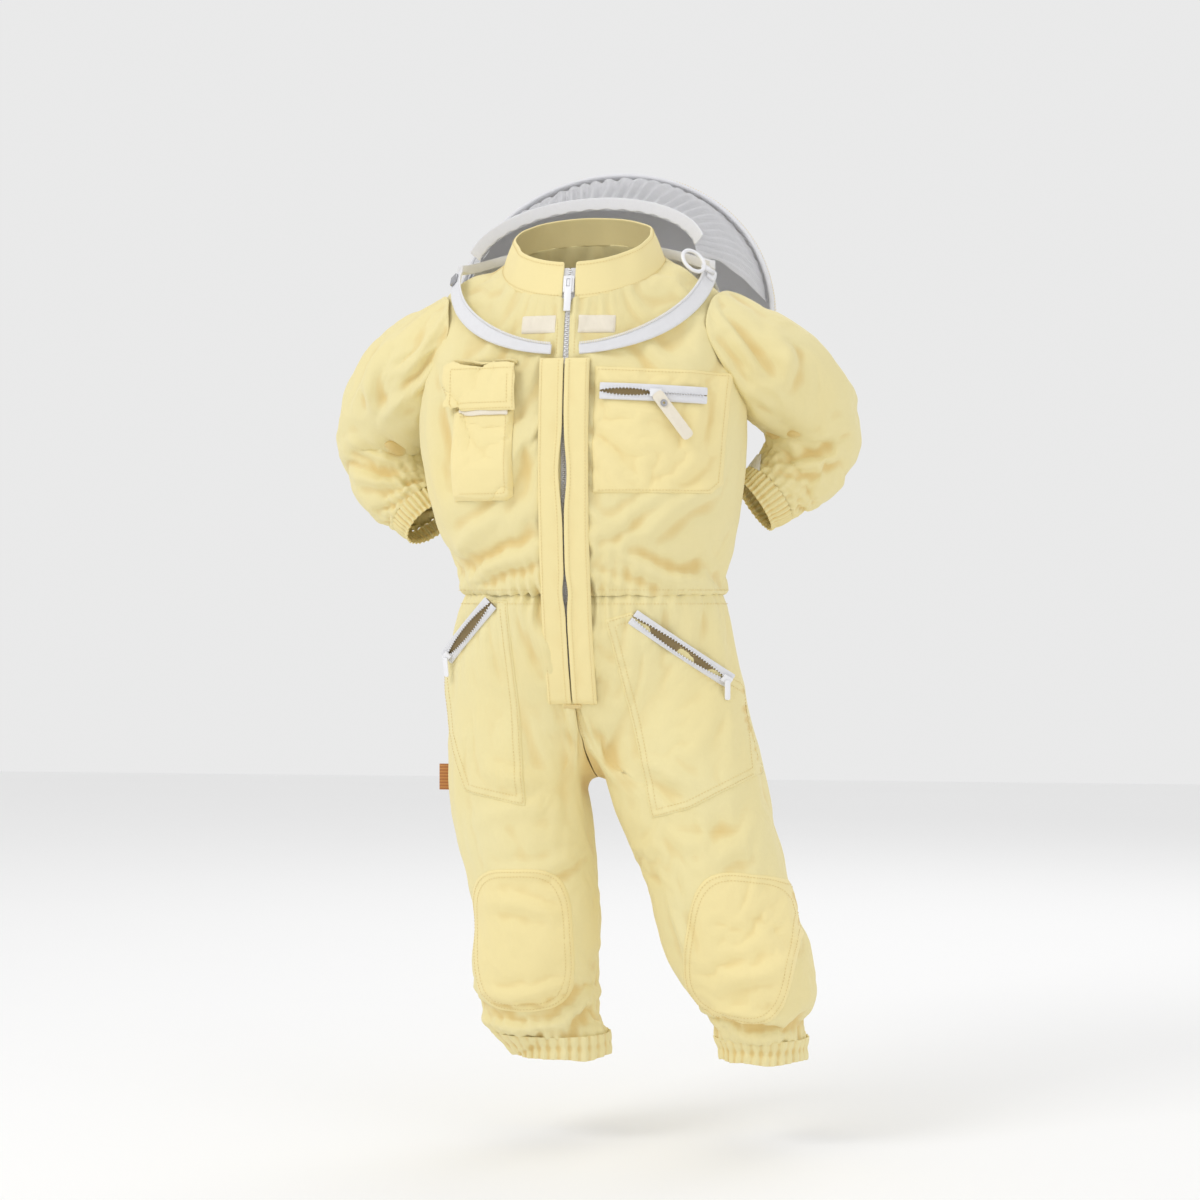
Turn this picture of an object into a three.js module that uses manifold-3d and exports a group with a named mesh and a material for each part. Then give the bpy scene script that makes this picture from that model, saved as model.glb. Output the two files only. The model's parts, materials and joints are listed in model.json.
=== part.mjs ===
// A child's beekeeping suit: a cotton coverall worn with the hands on the hips, its veil hood thrown back.
// Millimetres, +Z up, the wearer faces -Y, the wearer's left is +X.
// The origin lies midway between the points where the neck zip crosses the shoulders.
import * as THREE from "three";
import { mergeVertices } from "three/addons/utils/BufferGeometryUtils.js";
import Module from "manifold-3d";

const wasm = await Module();
wasm.setup();

// ---------------------------------------------------------------- driving dimensions
const STATURE = 1160; // height of the child that the suit is cut for
const CHEST_WIDTH = 348; // width of the filled bodice at the arms
const CLOTH = 2; // thickness that stands for cloth and its lining
const PATCH = 1.6; // thickness of a patch that is sewn on
const FACING = 1.7; // thickness of the facing under each front edge
const GAP = 0.3; // clearance between neighbours
const UP = STATURE / 1160; // heights follow the stature
const WIDE = CHEST_WIDTH / 348; // widths follow the chest

const NECK_ZIP_RADIUS = 131.4 * WIDE; // circle that the neck zip follows over the front
const NECK_ZIP_DROP = 10 * WIDE; // its centre lies this far down the front from the shoulder line
const NECK_ZIP_TILT = THREE.MathUtils.degToRad(40.7); // how far its plane dips to the front
const NECK_TAPE_WIDTH = 17;

const FRONT_ARC_RADIUS = 589; // circle that the main zip follows down the centre front
const FRONT_DEPTH = 118 * WIDE; // how far the chest stands in front of the shoulder line
const FRONT_ARC_HEIGHT = -205 * UP; // level of the fullest point of the chest

const ZIP_TOP = -6 * UP; // top end of the main zip
const ZIP_FOOT = -440 * UP; // bar-tack at the foot of the main zip
const ZIP_SLOT = 9; // half the gap between the front panels over the zip
const ZIP_TAPE_HALF = 21;
const CHAIN_HALF = 2.2;
const SLIDER_WIDTH = 11;
const SLIDER_LENGTH = 17;
const SLIDER_THICK = 3.4;
const COLLAR_SLOT = SLIDER_WIDTH / 2 + 1; // half the gap between the collar's front edges
const PULL_WIDTH = 7;
const PULL_LENGTH = 24;
const PULL_THICK = 1.4;
const PLACKET_HALF = 26;
const PLACKET_TOP = -101 * UP;

const COLLAR_HEIGHT = 34;
const COLLAR_TILT = 0.468; // rise of the collar's seam towards the nape, per unit of depth
const WAIST = -339 * UP;
const CUFF_PROUD = 1.5; // a gathered cuff or hem stands this far out of its limb
const HEM_TOP = -791 * UP;
const HEM_FOOT = -812 * UP;
const CROTCH = -496 * UP;
const CROTCH_X = 15 * WIDE;
const FLY_X = 0;

const HOOP_RADIUS = 176 * WIDE; // rim of the hood
const HOOP_HEIGHT = 170 * UP; // rim above the shoulders when the hood is worn
const HOOP_SET_BACK = -20; // the worn rim's centre, in front of the shoulder line
const RIM_BAND = 20; // width of the rim's casing
const RIM_THICK = 6;
const CROWN_HEIGHT = 92 * UP;
const NET = 1.2;
const HOOD_BACK = THREE.MathUtils.degToRad(110); // the hood's turn from worn to thrown back
const HEM_REST = THREE.MathUtils.degToRad(35); // rise of the veil's hem behind the neck

const TORSO_FACETS = 28;
const LIMB_FACETS = 14;
const ARM_STEPS = 8;
const LEG_STEPS = 12;
const COLLAR_FACETS = 20;
const HOOD_FACETS = 24;
const CROWN_STEPS = 5;

// ---------------------------------------------------------------- solids
function solid(geometry) {
  const plain = geometry.index ? geometry.toNonIndexed() : geometry.clone();
  plain.deleteAttribute("normal");
  plain.deleteAttribute("uv");
  const merged = mergeVertices(plain, 1e-4);
  const mesh = new wasm.Mesh({
    numProp: 3,
    vertProperties: merged.attributes.position.array,
    triVerts: new Uint32Array(merged.index.array),
  });
  return new wasm.Manifold(mesh);
}

function geometryOf(made) {
  const mesh = made.getMesh();
  const corners = new Float32Array((mesh.vertProperties.length / mesh.numProp) * 3);
  for (let i = 0; i < corners.length / 3; i += 1)
    for (let k = 0; k < 3; k += 1) corners[3 * i + k] = mesh.vertProperties[i * mesh.numProp + k];
  const geometry = new THREE.BufferGeometry();
  geometry.setAttribute("position", new THREE.BufferAttribute(corners, 3));
  geometry.setIndex(new THREE.BufferAttribute(new Uint32Array(mesh.triVerts), 1));
  return geometry;
}

// A closed body through rings of equal count, each counter-clockwise as seen from the ring after it.
function loft(rings) {
  const count = rings[0].length;
  const points = rings.flat();
  const faces = [];
  for (let i = 0; i + 1 < rings.length; i += 1)
    for (let j = 0; j < count; j += 1) {
      const a = i * count + j;
      const b = i * count + ((j + 1) % count);
      faces.push(a, b, b + count, a, b + count, a + count);
    }
  const last = (rings.length - 1) * count;
  const foot = points.push(middle(rings[0])) - 1;
  const top = points.push(middle(rings.at(-1))) - 1;
  for (let j = 0; j < count; j += 1) {
    const next = (j + 1) % count;
    faces.push(foot, next, j, top, last + j, last + next);
  }
  const geometry = new THREE.BufferGeometry().setFromPoints(points);
  geometry.setIndex(faces);
  return solid(geometry);
}

function middle(points) {
  const sum = points.reduce((total, p) => total.add(p), new THREE.Vector3());
  return sum.divideScalar(points.length);
}

// A thin closed body on a grid of points, with half of its thickness on each side.
function slab(pointAt, columns, rows, thickness) {
  const sides = [1, -1].map((side) => {
    const points = [];
    for (let i = 0; i <= columns; i += 1)
      for (let j = 0; j <= rows; j += 1) {
        const u = i / columns;
        const v = j / rows;
        const step = 1e-3;
        const du = pointAt(Math.min(u + step, 1), v).sub(pointAt(Math.max(u - step, 0), v));
        const dv = pointAt(u, Math.min(v + step, 1)).sub(pointAt(u, Math.max(v - step, 0)));
        const normal = du.cross(dv).normalize();
        points.push(pointAt(u, v).addScaledVector(normal, (side * thickness) / 2));
      }
    return points;
  });
  const index = (side, i, j) => side * (columns + 1) * (rows + 1) + i * (rows + 1) + j;
  const faces = [];
  const quad = (a, b, c, d) => faces.push(a, b, c, a, c, d);
  for (let i = 0; i < columns; i += 1)
    for (let j = 0; j < rows; j += 1) {
      quad(index(0, i, j), index(0, i + 1, j), index(0, i + 1, j + 1), index(0, i, j + 1));
      quad(index(1, i, j), index(1, i, j + 1), index(1, i + 1, j + 1), index(1, i + 1, j));
    }
  for (let i = 0; i < columns; i += 1) {
    quad(index(1, i, 0), index(1, i + 1, 0), index(0, i + 1, 0), index(0, i, 0));
    quad(index(0, i, rows), index(0, i + 1, rows), index(1, i + 1, rows), index(1, i, rows));
  }
  for (let j = 0; j < rows; j += 1) {
    quad(index(0, 0, j), index(0, 0, j + 1), index(1, 0, j + 1), index(1, 0, j));
    quad(index(1, columns, j), index(1, columns, j + 1), index(0, columns, j + 1), index(0, columns, j));
  }
  const geometry = new THREE.BufferGeometry().setFromPoints(sides.flat());
  geometry.setIndex(faces);
  return solid(geometry);
}

function box(low, high) {
  const geometry = new THREE.BoxGeometry(high[0] - low[0], high[1] - low[1], high[2] - low[2]);
  geometry.translate((low[0] + high[0]) / 2, (low[1] + high[1]) / 2, (low[2] + high[2]) / 2);
  return solid(geometry);
}

// An outline in X and Z, cut through from y = near to y = far.
function prism(outline, near, far) {
  const shape = new THREE.Shape(outline.map(([x, z]) => new THREE.Vector2(x, z)));
  const geometry = new THREE.ExtrudeGeometry(shape, { depth: far - near, bevelEnabled: false });
  geometry.rotateX(Math.PI / 2);
  geometry.translate(0, far, 0);
  return solid(geometry);
}

function roundedOutline(centre, half, corner, steps = 4) {
  const outline = [];
  for (let quarter = 0; quarter < 4; quarter += 1)
    for (let i = 0; i <= steps; i += 1) {
      const angle = ((quarter + i / steps) * Math.PI) / 2;
      const sx = quarter === 0 || quarter === 3 ? 1 : -1;
      const sz = quarter < 2 ? 1 : -1;
      const x = centre[0] + sx * (half[0] - corner) + corner * Math.cos(angle);
      outline.push([x, centre[1] + sz * (half[1] - corner) + corner * Math.sin(angle)]);
    }
  return outline;
}

const part = new THREE.Group();
part.name = "beekeeping_suit";

function add(name, made, colour, roughness = 0.9, metalness = 0, group = part) {
  const material = new THREE.MeshStandardMaterial({ color: colour, roughness, metalness });
  const mesh = new THREE.Mesh(geometryOf(made), material);
  mesh.name = name;
  group.add(mesh);
}

const COTTON = 0xf2e3ac;
const WARM_COTTON = 0xf7e4a8;
const WHITE = 0xf4f4f6;
const CREAM = 0xf8eedb;
const STEEL = 0x9a9da0;
const LABEL = 0xb5702f;
const NETTING = 0xe9eaee;

// ---------------------------------------------------------------- torso form
const frontArcDepth = FRONT_ARC_RADIUS - FRONT_DEPTH; // the zip arc's centre, behind the shoulder line

// Depth of the centre front at a height.
function frontAt(z) {
  const rise = z - FRONT_ARC_HEIGHT;
  return frontArcDepth - Math.sqrt(FRONT_ARC_RADIUS ** 2 - rise ** 2);
}

// A point of the neck zip's circle, from 0 at the wearer's left shoulder to 90 degrees at the centre front.
function neckZipPoint(angle, grow = 0, side = 1) {
  const reach = NECK_ZIP_DROP + (NECK_ZIP_RADIUS + grow) * Math.sin(angle);
  return new THREE.Vector3(
    side * (NECK_ZIP_RADIUS + grow) * Math.cos(angle),
    -reach * Math.cos(NECK_ZIP_TILT),
    -reach * Math.sin(NECK_ZIP_TILT),
  );
}

// Levels of the torso: height, half-width to the wearer's right and left, depth behind, roundness behind.
const levels = [
  [34, 48, 48, 58, 1.9],
  [6, 96, 96, 73, 1.8],
  [0, 131.6, 131.6, 77, 1.7],
  [-12, 150, 150, 82, 1.7],
  [-35, 164, 164, 88, 1.9],
  [-58, 169, 169, 92, 2],
  [-92, 172, 172, 96, 2.1],
  [-140, 174, 172, 98, 2.3],
  [-180, 172, 169, 98, 2.3],
  [-220, 166, 165, 96, 2.3],
  [-260, 152, 159, 90, 2.3],
  [-300, 134, 151, 80, 2.3],
  [-339, 124, 151, 74, 2.2],
  [-393, 146, 162, 92, 2.2],
  [-430, 147, 168, 95, 2.2],
  [-468, 144, 172, 92, 2.2],
].map(([z, right, left, back, power]) => ({
  z: z * UP,
  right: right * WIDE,
  left: left * WIDE,
  back: back * WIDE,
  power,
}));

function levelAt(z) {
  const above = levels.findIndex((level) => level.z <= z);
  if (above <= 0) return above === 0 ? levels[0] : levels.at(-1);
  const high = levels[above - 1];
  const low = levels[above];
  const share = (z - low.z) / (high.z - low.z);
  const mix = (key) => low[key] + (high[key] - low[key]) * share;
  return { z, right: mix("right"), left: mix("left"), back: mix("back"), power: mix("power") };
}

// Roundness of the front quarter that makes the level pass through the neck zip's circle.
function frontPower(z, half) {
  const sine = (-z / Math.sin(NECK_ZIP_TILT) - NECK_ZIP_DROP) / NECK_ZIP_RADIUS;
  if (sine <= 0.02) return 1.05;
  if (sine >= 0.86) return Math.min(2.3, 1.8 + (sine - 0.86) * 1.1);
  const point = neckZipPoint(Math.asin(sine));
  let low = 0.9;
  let high = 3;
  for (let step = 0; step < 24; step += 1) {
    const power = (low + high) / 2;
    const sum = (point.x / half) ** power + (point.y / frontAt(z)) ** power;
    if (sum > 1) low = power;
    else high = power;
  }
  return Math.max(low, 1.02);
}

function torsoRing(level, offset, lift) {
  const points = [];
  for (let j = 0; j < TORSO_FACETS; j += 1) {
    const angle = (j / TORSO_FACETS) * 2 * Math.PI;
    const cosine = Math.cos(angle);
    const sine = Math.sin(angle);
    const half = cosine >= 0 ? level.left : level.right;
    const depth = sine >= 0 ? level.back : -frontAt(level.z);
    const power = sine >= 0 ? level.power : frontPower(level.z, half);
    const x = Math.sign(cosine) * Math.abs(cosine) ** (2 / power) * (half + offset);
    const y = Math.sign(sine) * Math.abs(sine) ** (2 / power) * (depth + offset);
    points.push(new THREE.Vector3(x, y, level.z + lift));
  }
  return points;
}

// The torso from the nape to below the hips, swollen by an offset.
function torso(offset) {
  const rings = levels.map((level, i) => {
    const high = levels[Math.max(i - 1, 0)];
    const low = levels[Math.min(i + 1, levels.length - 1)];
    const slope = (low.left - high.left) / Math.hypot(low.left - high.left, high.z - low.z);
    return torsoRing(level, offset, offset * Math.max(slope, 0));
  });
  const seat = levels.at(-1);
  const foot = {
    ...seat,
    z: CROTCH,
    left: seat.left * 0.7,
    right: seat.right * 0.6,
    back: seat.back * 0.7,
  };
  rings.push(torsoRing(foot, offset, -offset));
  return loft(rings.reverse());
}

// Depth of the front surface of the torso at a place across and up.
function frontSurface(x, z) {
  const level = levelAt(z);
  const half = x >= 0 ? level.left : level.right;
  const power = frontPower(z, half);
  const share = Math.max(1 - Math.abs(x / half) ** power, 0);
  return frontAt(z) * share ** (1 / power);
}

const torsoSolids = new Map();
function torsoAt(offset) {
  if (!torsoSolids.has(offset)) torsoSolids.set(offset, torso(offset));
  return torsoSolids.get(offset);
}
const torsoLayer = (low, high) => torsoAt(high).subtract(torsoAt(low));

// ---------------------------------------------------------------- limbs
// A tube through places with two half-sizes, cut to a share of its length.
function limb(places, sizes, offset, start, end, steps, across) {
  const path = new THREE.CatmullRomCurve3(places.map((p) => new THREE.Vector3(...p)));
  const girth = new THREE.CatmullRomCurve3(sizes.map(([a, b]) => new THREE.Vector3(a, b, 0)));
  const rings = [];
  for (let i = 0; i <= steps; i += 1) {
    const t = start + ((end - start) * i) / steps;
    const centre = path.getPoint(t);
    const along = path.getTangent(t);
    const v = across.clone().addScaledVector(along, -across.dot(along)).normalize();
    const u = v.clone().cross(along).normalize();
    const size = girth.getPoint(t);
    const points = [];
    for (let j = 0; j < LIMB_FACETS; j += 1) {
      const angle = (j / LIMB_FACETS) * 2 * Math.PI;
      const point = centre.clone().addScaledVector(u, (size.x + offset) * Math.cos(angle));
      points.push(point.addScaledVector(v, (size.y + offset) * Math.sin(angle)));
    }
    rings.push(points);
  }
  return loft(rings);
}

const scaled = (places) => places.map(([x, y, z]) => [x * WIDE, y * WIDE, z * UP]);
const ACROSS = new THREE.Vector3(1, 0, 0);
const DEEP = new THREE.Vector3(0, 1, 0);
const UPWARDS = new THREE.Vector3(0, 0, 1);

const arms = {
  right: {
    places: scaled([
      [-120, 4, -76],
      [-165, 12, -88],
      [-207, 48, -114],
      [-236, 84, -163],
      [-214, 74, -216],
      [-187, 60, -246],
      [-169, 52, -266],
    ]),
  },
  left: {
    places: scaled([
      [120, 4, -76],
      [165, 12, -88],
      [209, 48, -110],
      [233, 84, -157],
      [213, 76, -204],
      [184, 60, -232],
      [163, 52, -248],
    ]),
  },
};
const ARM_SIZES = [[56, 60], [61, 60], [60, 57], [52, 52], [46, 47], [34, 36], [29, 32]];
const ARM_END = 5 / 6; // share of the arm's path where the sleeve meets its cuff
const CUFF_SHARE = 0.12;

const legs = {
  right: {
    places: scaled([
      [-66, 8, -400],
      [-69, 6, -455],
      [-70, 3, -520],
      [-57, -4, -599],
      [-44, -9, -668],
      [-53, -5, -723],
      [-42, 2, -762],
      [-25, 6, -790],
      [-25, 6, -830],
    ]),
    sizes: [[66, 62], [73, 74], [75, 78], [71, 72], [63, 68], [69, 67], [65, 60], [52, 52], [48, 48]],
  },
  left: {
    places: scaled([
      [84, 8, -400],
      [95, 6, -455],
      [107, 3, -520],
      [132, -4, -599],
      [153, -9, -668],
      [178, -5, -723],
      [181, 2, -762],
      [184, 6, -790],
      [187, 6, -830],
    ]),
    sizes: [[66, 62], [75, 74], [81, 78], [73, 72], [74, 68], [67, 66], [56, 58], [47, 48], [42, 45]],
  },
};
const limbSizes = (sizes) => sizes.map(([a, b]) => [a * WIDE, b * WIDE]);

function arm(side, offset, start, end, steps = ARM_STEPS) {
  return limb(arms[side].places, limbSizes(ARM_SIZES), offset, start, end, steps, DEEP);
}

function leg(side, offset, steps = LEG_STEPS) {
  return limb(legs[side].places, limbSizes(legs[side].sizes), offset, 0, 1, steps, DEEP);
}

const FAR = 1500;
const slice = (low, high) => box([-FAR, -FAR, low], [FAR, FAR, high]);

// The trousers' whole outer form, swollen by an offset.
function trousers(offset) {
  return torsoAt(offset).add(leg("right", offset)).add(leg("left", offset));
}
const trouserSolids = new Map();
function trousersAt(offset) {
  if (!trouserSolids.has(offset)) trouserSolids.set(offset, trousers(offset));
  return trouserSolids.get(offset);
}
const trouserLayer = (low, high) => trousersAt(high).subtract(trousersAt(low));

// ---------------------------------------------------------------- collar and neck opening
// A ring of the collar: how far up it stands, and how far in from its seam.
function collarRing(rise, inset, offset) {
  const points = [];
  for (let j = 0; j < COLLAR_FACETS; j += 1) {
    const angle = (j / COLLAR_FACETS) * 2 * Math.PI;
    const half = 88 * WIDE - inset + offset;
    const depth = (Math.sin(angle) < 0 ? 94 * WIDE : 60 * WIDE) - inset * 0.8 + offset;
    const y = depth * Math.sin(angle);
    points.push(new THREE.Vector3(half * Math.cos(angle), y, 5 + COLLAR_TILT * y + rise));
  }
  return points;
}

function collarForm(offset, below, above) {
  const lean = 14 / COLLAR_HEIGHT; // the collar narrows towards its top
  const rises = [-below, 0, COLLAR_HEIGHT / 2, COLLAR_HEIGHT + above];
  return loft(rises.map((rise) => collarRing(rise, Math.max(rise, 0) * lean, offset)));
}

const neckHole = collarForm(-CLOTH, 70, 70);
const zipSlot = box([-ZIP_SLOT, -FAR, ZIP_FOOT], [ZIP_SLOT, 0, FAR]);
const collarSlot = box([-COLLAR_SLOT, -FAR, -FAR], [COLLAR_SLOT, 0, FAR]);
const zipRoom = box([-ZIP_TAPE_HALF - GAP, -FAR, ZIP_FOOT - GAP], [ZIP_TAPE_HALF + GAP, 0, FAR]);

// ---------------------------------------------------------------- bodice
const bodyRing = slice(WAIST + GAP / 2, FAR);
const armHoles = arm("right", -CLOTH, 0, 0.5).add(arm("left", -CLOTH, 0, 0.5));
const facing = torsoLayer(-CLOTH - FACING, -CLOTH / 2)
  .intersect(box([-PLACKET_HALF, -FAR, ZIP_FOOT], [PLACKET_HALF, 0, -20]))
  .subtract(zipSlot);
const ZIP_SKIN = -CLOTH - FACING - GAP; // outer face of the zip's tape, under the panels' facings

const bodice = torsoLayer(-CLOTH, 0)
  .add(facing)
  .intersect(bodyRing)
  .subtract(neckHole)
  .subtract(armHoles)
  .subtract(zipSlot);
const sideSeam = 4; // the side seam lies a little behind the shoulder line
add(
  "front_panel_right",
  bodice.intersect(box([-FAR, -FAR, -FAR], [0, sideSeam - GAP / 2, FAR])),
  COTTON,
);
add(
  "front_panel_left",
  bodice.intersect(box([0, -FAR, -FAR], [FAR, sideSeam - GAP / 2, FAR])),
  COTTON,
);
add("back_panel", bodice.intersect(box([-FAR, sideSeam + GAP / 2, -FAR], [FAR, FAR, FAR])), COTTON);

const collar = collarForm(0, 30, 0)
  .subtract(neckHole)
  .subtract(torsoAt(GAP))
  .subtract(collarSlot);
add("collar", collar, WARM_COTTON);

const SLEEVE_END = ARM_END - 0.003;
function sleeve(side) {
  const inside = arm(side, -CLOTH, 0, (SLEEVE_END * (ARM_STEPS + 1)) / ARM_STEPS, ARM_STEPS + 1);
  const body = arm(side, 0, 0, SLEEVE_END).subtract(inside);
  add(`sleeve_${side}`, body.subtract(torsoAt(GAP)), COTTON);
  const cuffOut = arm(side, CUFF_PROUD, ARM_END, ARM_END + CUFF_SHARE, 3);
  const cuff = cuffOut.subtract(arm(side, -CLOTH, 0.7, 1, 6));
  add(`cuff_${side}`, cuff.subtract(torsoAt(GAP)), COTTON);
}
sleeve("right");
sleeve("left");

// ---------------------------------------------------------------- trousers
const trouserCloth = trouserLayer(-CLOTH, 0)
  .add(facing)
  .intersect(slice(HEM_TOP, WAIST - GAP / 2))
  .subtract(zipSlot);
const rise = [
  [FLY_X, 0],
  [FLY_X, ZIP_FOOT],
  [CROTCH_X, CROTCH + 10],
  [(legs.right.places.at(-1)[0] + legs.left.places.at(-1)[0]) / 2, legs.left.places.at(-1)[2]],
];
const below = rise.at(-1)[1];
function halfOutline(side) {
  const inner = rise.map(([x, z]) => [x + (side * GAP) / 2, z]);
  return [...inner, [side * FAR, below], [side * FAR, 0]];
}
add("trouser_leg_right", trouserCloth.intersect(prism(halfOutline(-1), -FAR, FAR)), COTTON);
add("trouser_leg_left", trouserCloth.intersect(prism(halfOutline(1), -FAR, FAR)), COTTON);

const waistBand = torsoLayer(-CLOTH - GAP - 1.6, -CLOTH - GAP)
  .intersect(slice(WAIST - 14, WAIST + 14))
  .subtract(zipRoom.add(box([-40, -FAR, -FAR], [40, 0, FAR])));
add("waist_elastic", waistBand, WHITE);

function hem(side) {
  const ringOut = leg(side, CUFF_PROUD).subtract(leg(side, -CLOTH));
  add(`ankle_hem_${side}`, ringOut.intersect(slice(HEM_FOOT, HEM_TOP - GAP)), COTTON);
}
hem("right");
hem("left");

// A patch on the front of the trousers, with an outline in X and Z.
function trouserPatch(name, outline, colour = WARM_COTTON) {
  const layer = trouserLayer(GAP, GAP + PATCH);
  add(name, layer.intersect(prism(outline, -FAR, -4)), colour);
}

const at = (points) => points.map(([x, z]) => [x * WIDE, z * UP]);
trouserPatch("knee_patch_right", roundedOutline(at([[-56, -688]])[0], [55 * WIDE, 74 * UP], 48));
trouserPatch("knee_patch_left", roundedOutline(at([[170, -692]])[0], [56 * WIDE, 76 * UP], 48));

// ---------------------------------------------------------------- main zip
// Angle on the front arc at a height, from the arc's centre, growing downwards.
const arcAngle = (z) => Math.asin((FRONT_ARC_HEIGHT - z) / FRONT_ARC_RADIUS);

// A strip along the front arc between two heights, two depths and two places across.
function arcStrip(high, low, inner, outer, left, right, steps = 12) {
  const from = arcAngle(high);
  const to = arcAngle(low);
  const outline = [];
  const place = (angle, offset) => {
    const radius = FRONT_ARC_RADIUS + offset;
    const y = frontArcDepth - radius * Math.cos(angle);
    outline.push(new THREE.Vector2(y, FRONT_ARC_HEIGHT - radius * Math.sin(angle)));
  };
  for (let i = 0; i <= steps; i += 1) place(from + ((to - from) * i) / steps, outer);
  for (let i = steps; i >= 0; i -= 1) place(from + ((to - from) * i) / steps, inner);
  const geometry = new THREE.ExtrudeGeometry(new THREE.Shape(outline), {
    depth: right - left,
    bevelEnabled: false,
  });
  geometry.applyMatrix4(new THREE.Matrix4().makeBasis(DEEP, UPWARDS, ACROSS));
  geometry.translate(left, 0, 0);
  return solid(geometry);
}

const TAPE_THICK = 1.2;
for (const [name, side] of [["right", -1], ["left", 1]]) {
  const edges = [side * (CHAIN_HALF + GAP), side * ZIP_TAPE_HALF].sort((a, b) => a - b);
  const tape = arcStrip(ZIP_TOP, ZIP_FOOT, ZIP_SKIN - TAPE_THICK, ZIP_SKIN, ...edges);
  add(`main_zip_tape_${name}`, tape.intersect(torsoAt(ZIP_SKIN)), WHITE);
}
const chainTop = ZIP_SKIN + 0.8;
const chain = arcStrip(ZIP_TOP, ZIP_FOOT, ZIP_SKIN - TAPE_THICK, chainTop, -CHAIN_HALF, CHAIN_HALF);
add("main_zip_chain", chain, WHITE, 0.5);

const SLIDER_TOP = -16 * UP;
const sliderFoot = SLIDER_TOP - SLIDER_LENGTH;
const sliderBase = chainTop + GAP;
const sliderFace = sliderBase + SLIDER_THICK;
const sliderHalf = SLIDER_WIDTH / 2;
const BRIDGE_HALF = 1.5; // half the width of the slider's bridge, which the pull hangs on
const bridgeTop = SLIDER_TOP - 4;
const bridgeFoot = sliderFoot + 6;
const bridge = arcStrip(
  bridgeTop,
  bridgeFoot,
  sliderFace - 0.5,
  sliderFace + 1.2,
  -BRIDGE_HALF,
  BRIDGE_HALF,
  2,
);
add(
  "main_zip_slider",
  arcStrip(SLIDER_TOP, sliderFoot, sliderBase, sliderFace, -sliderHalf, sliderHalf, 3).add(bridge),
  WHITE,
  0.4,
);
const pullFoot = sliderFoot + 4 - PULL_LENGTH;
const pullBase = sliderFace + GAP;
const pullHalf = PULL_WIDTH / 2;
const pullFace = pullBase + PULL_THICK;
const pullPlate = arcStrip(SLIDER_TOP - 2, pullFoot, pullBase, pullFace, -pullHalf, pullHalf, 4);
const windowHalf = BRIDGE_HALF + GAP;
const pullWindow = box([-windowHalf, -FAR, bridgeFoot - GAP], [windowHalf, 0, bridgeTop + GAP + 0.5]);
add("main_zip_pull", pullPlate.subtract(pullWindow), WHITE, 0.4);

const placketBase = pullFace + 1;
const placketFace = placketBase + CLOTH * 0.9;
for (const [name, side] of [["right", -1], ["left", 1]]) {
  const edge = [side * 0.6, side * PLACKET_HALF].sort((a, b) => a - b);
  const wall = [side * (PLACKET_HALF - 4), side * PLACKET_HALF].sort((a, b) => a - b);
  const strip = arcStrip(PLACKET_TOP, ZIP_FOOT - 6, placketBase, placketFace, ...edge);
  const foot = arcStrip(PLACKET_TOP, ZIP_FOOT - 6, -8, placketFace, ...wall);
  const toe = arcStrip(ZIP_FOOT - 1, ZIP_FOOT - 6, -8, placketFace, ...edge, 2);
  const whole = strip.add(foot).add(toe);
  add(`placket_${name}`, whole.subtract(trousersAt(GAP)), WARM_COTTON);
}
add(
  "fly_bar_tack",
  arcStrip(ZIP_FOOT - 6 - GAP, ZIP_FOOT - 10, -8, placketFace, -9, 9, 1).subtract(trousersAt(GAP)),
  WARM_COTTON,
);

// ---------------------------------------------------------------- patches on the bodice
function bodicePatch(name, outline, low, high, colour) {
  add(name, torsoLayer(low, high).intersect(prism(outline, -FAR, -10)), colour);
}
const square = (x0, x1, z0, z1) => at([[x0, z0], [x1, z0], [x1, z1], [x0, z1]]);
bodicePatch("hook_patch_right", square(-48, -11, -75, -56), GAP, GAP + PATCH, CREAM);
bodicePatch("hook_patch_left", square(11, 48, -75, -56), GAP, GAP + PATCH, CREAM);

// Bellows pocket with a flap, on the wearer's right chest.
const BELLOWS = 9;
const pocketOutline = at([[-118, -150], [-52, -150], [-52, -238], [-60, -243], [-118, -243]]);
const pocketInner = at([[-114, -100], [-56, -100], [-56, -236], [-63, -239], [-114, -239]]);
const pocketLayer = torsoLayer(GAP, BELLOWS).intersect(prism(pocketOutline, -FAR, -10));
const pocketRoom = torsoLayer(GAP - 1, BELLOWS - CLOTH).intersect(prism(pocketInner, -FAR, -10));
add("flap_pocket_bag", pocketLayer.subtract(pocketRoom), WARM_COTTON);
const flapBase = BELLOWS + GAP + PATCH;
bodicePatch(
  "pocket_flap",
  at([[-124, -106], [-49, -106], [-49, -153], [-118, -153], [-124, -146]]),
  flapBase,
  flapBase + CLOTH,
  WARM_COTTON,
);
bodicePatch("flap_hook_strip", square(-112, -58, -168, -151.5), BELLOWS + GAP, flapBase - GAP, CREAM);
bodicePatch("pocket_flap_stay", square(-124, -49, -105.7, -101), GAP, flapBase + CLOTH, WARM_COTTON);

// Zip pocket on the wearer's left chest.
bodicePatch(
  "zip_pocket_bag",
  at([[30, -109], [160, -113], [152, -226], [142, -236], [28, -236]]),
  GAP,
  GAP + PATCH,
  WARM_COTTON,
);

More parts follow.
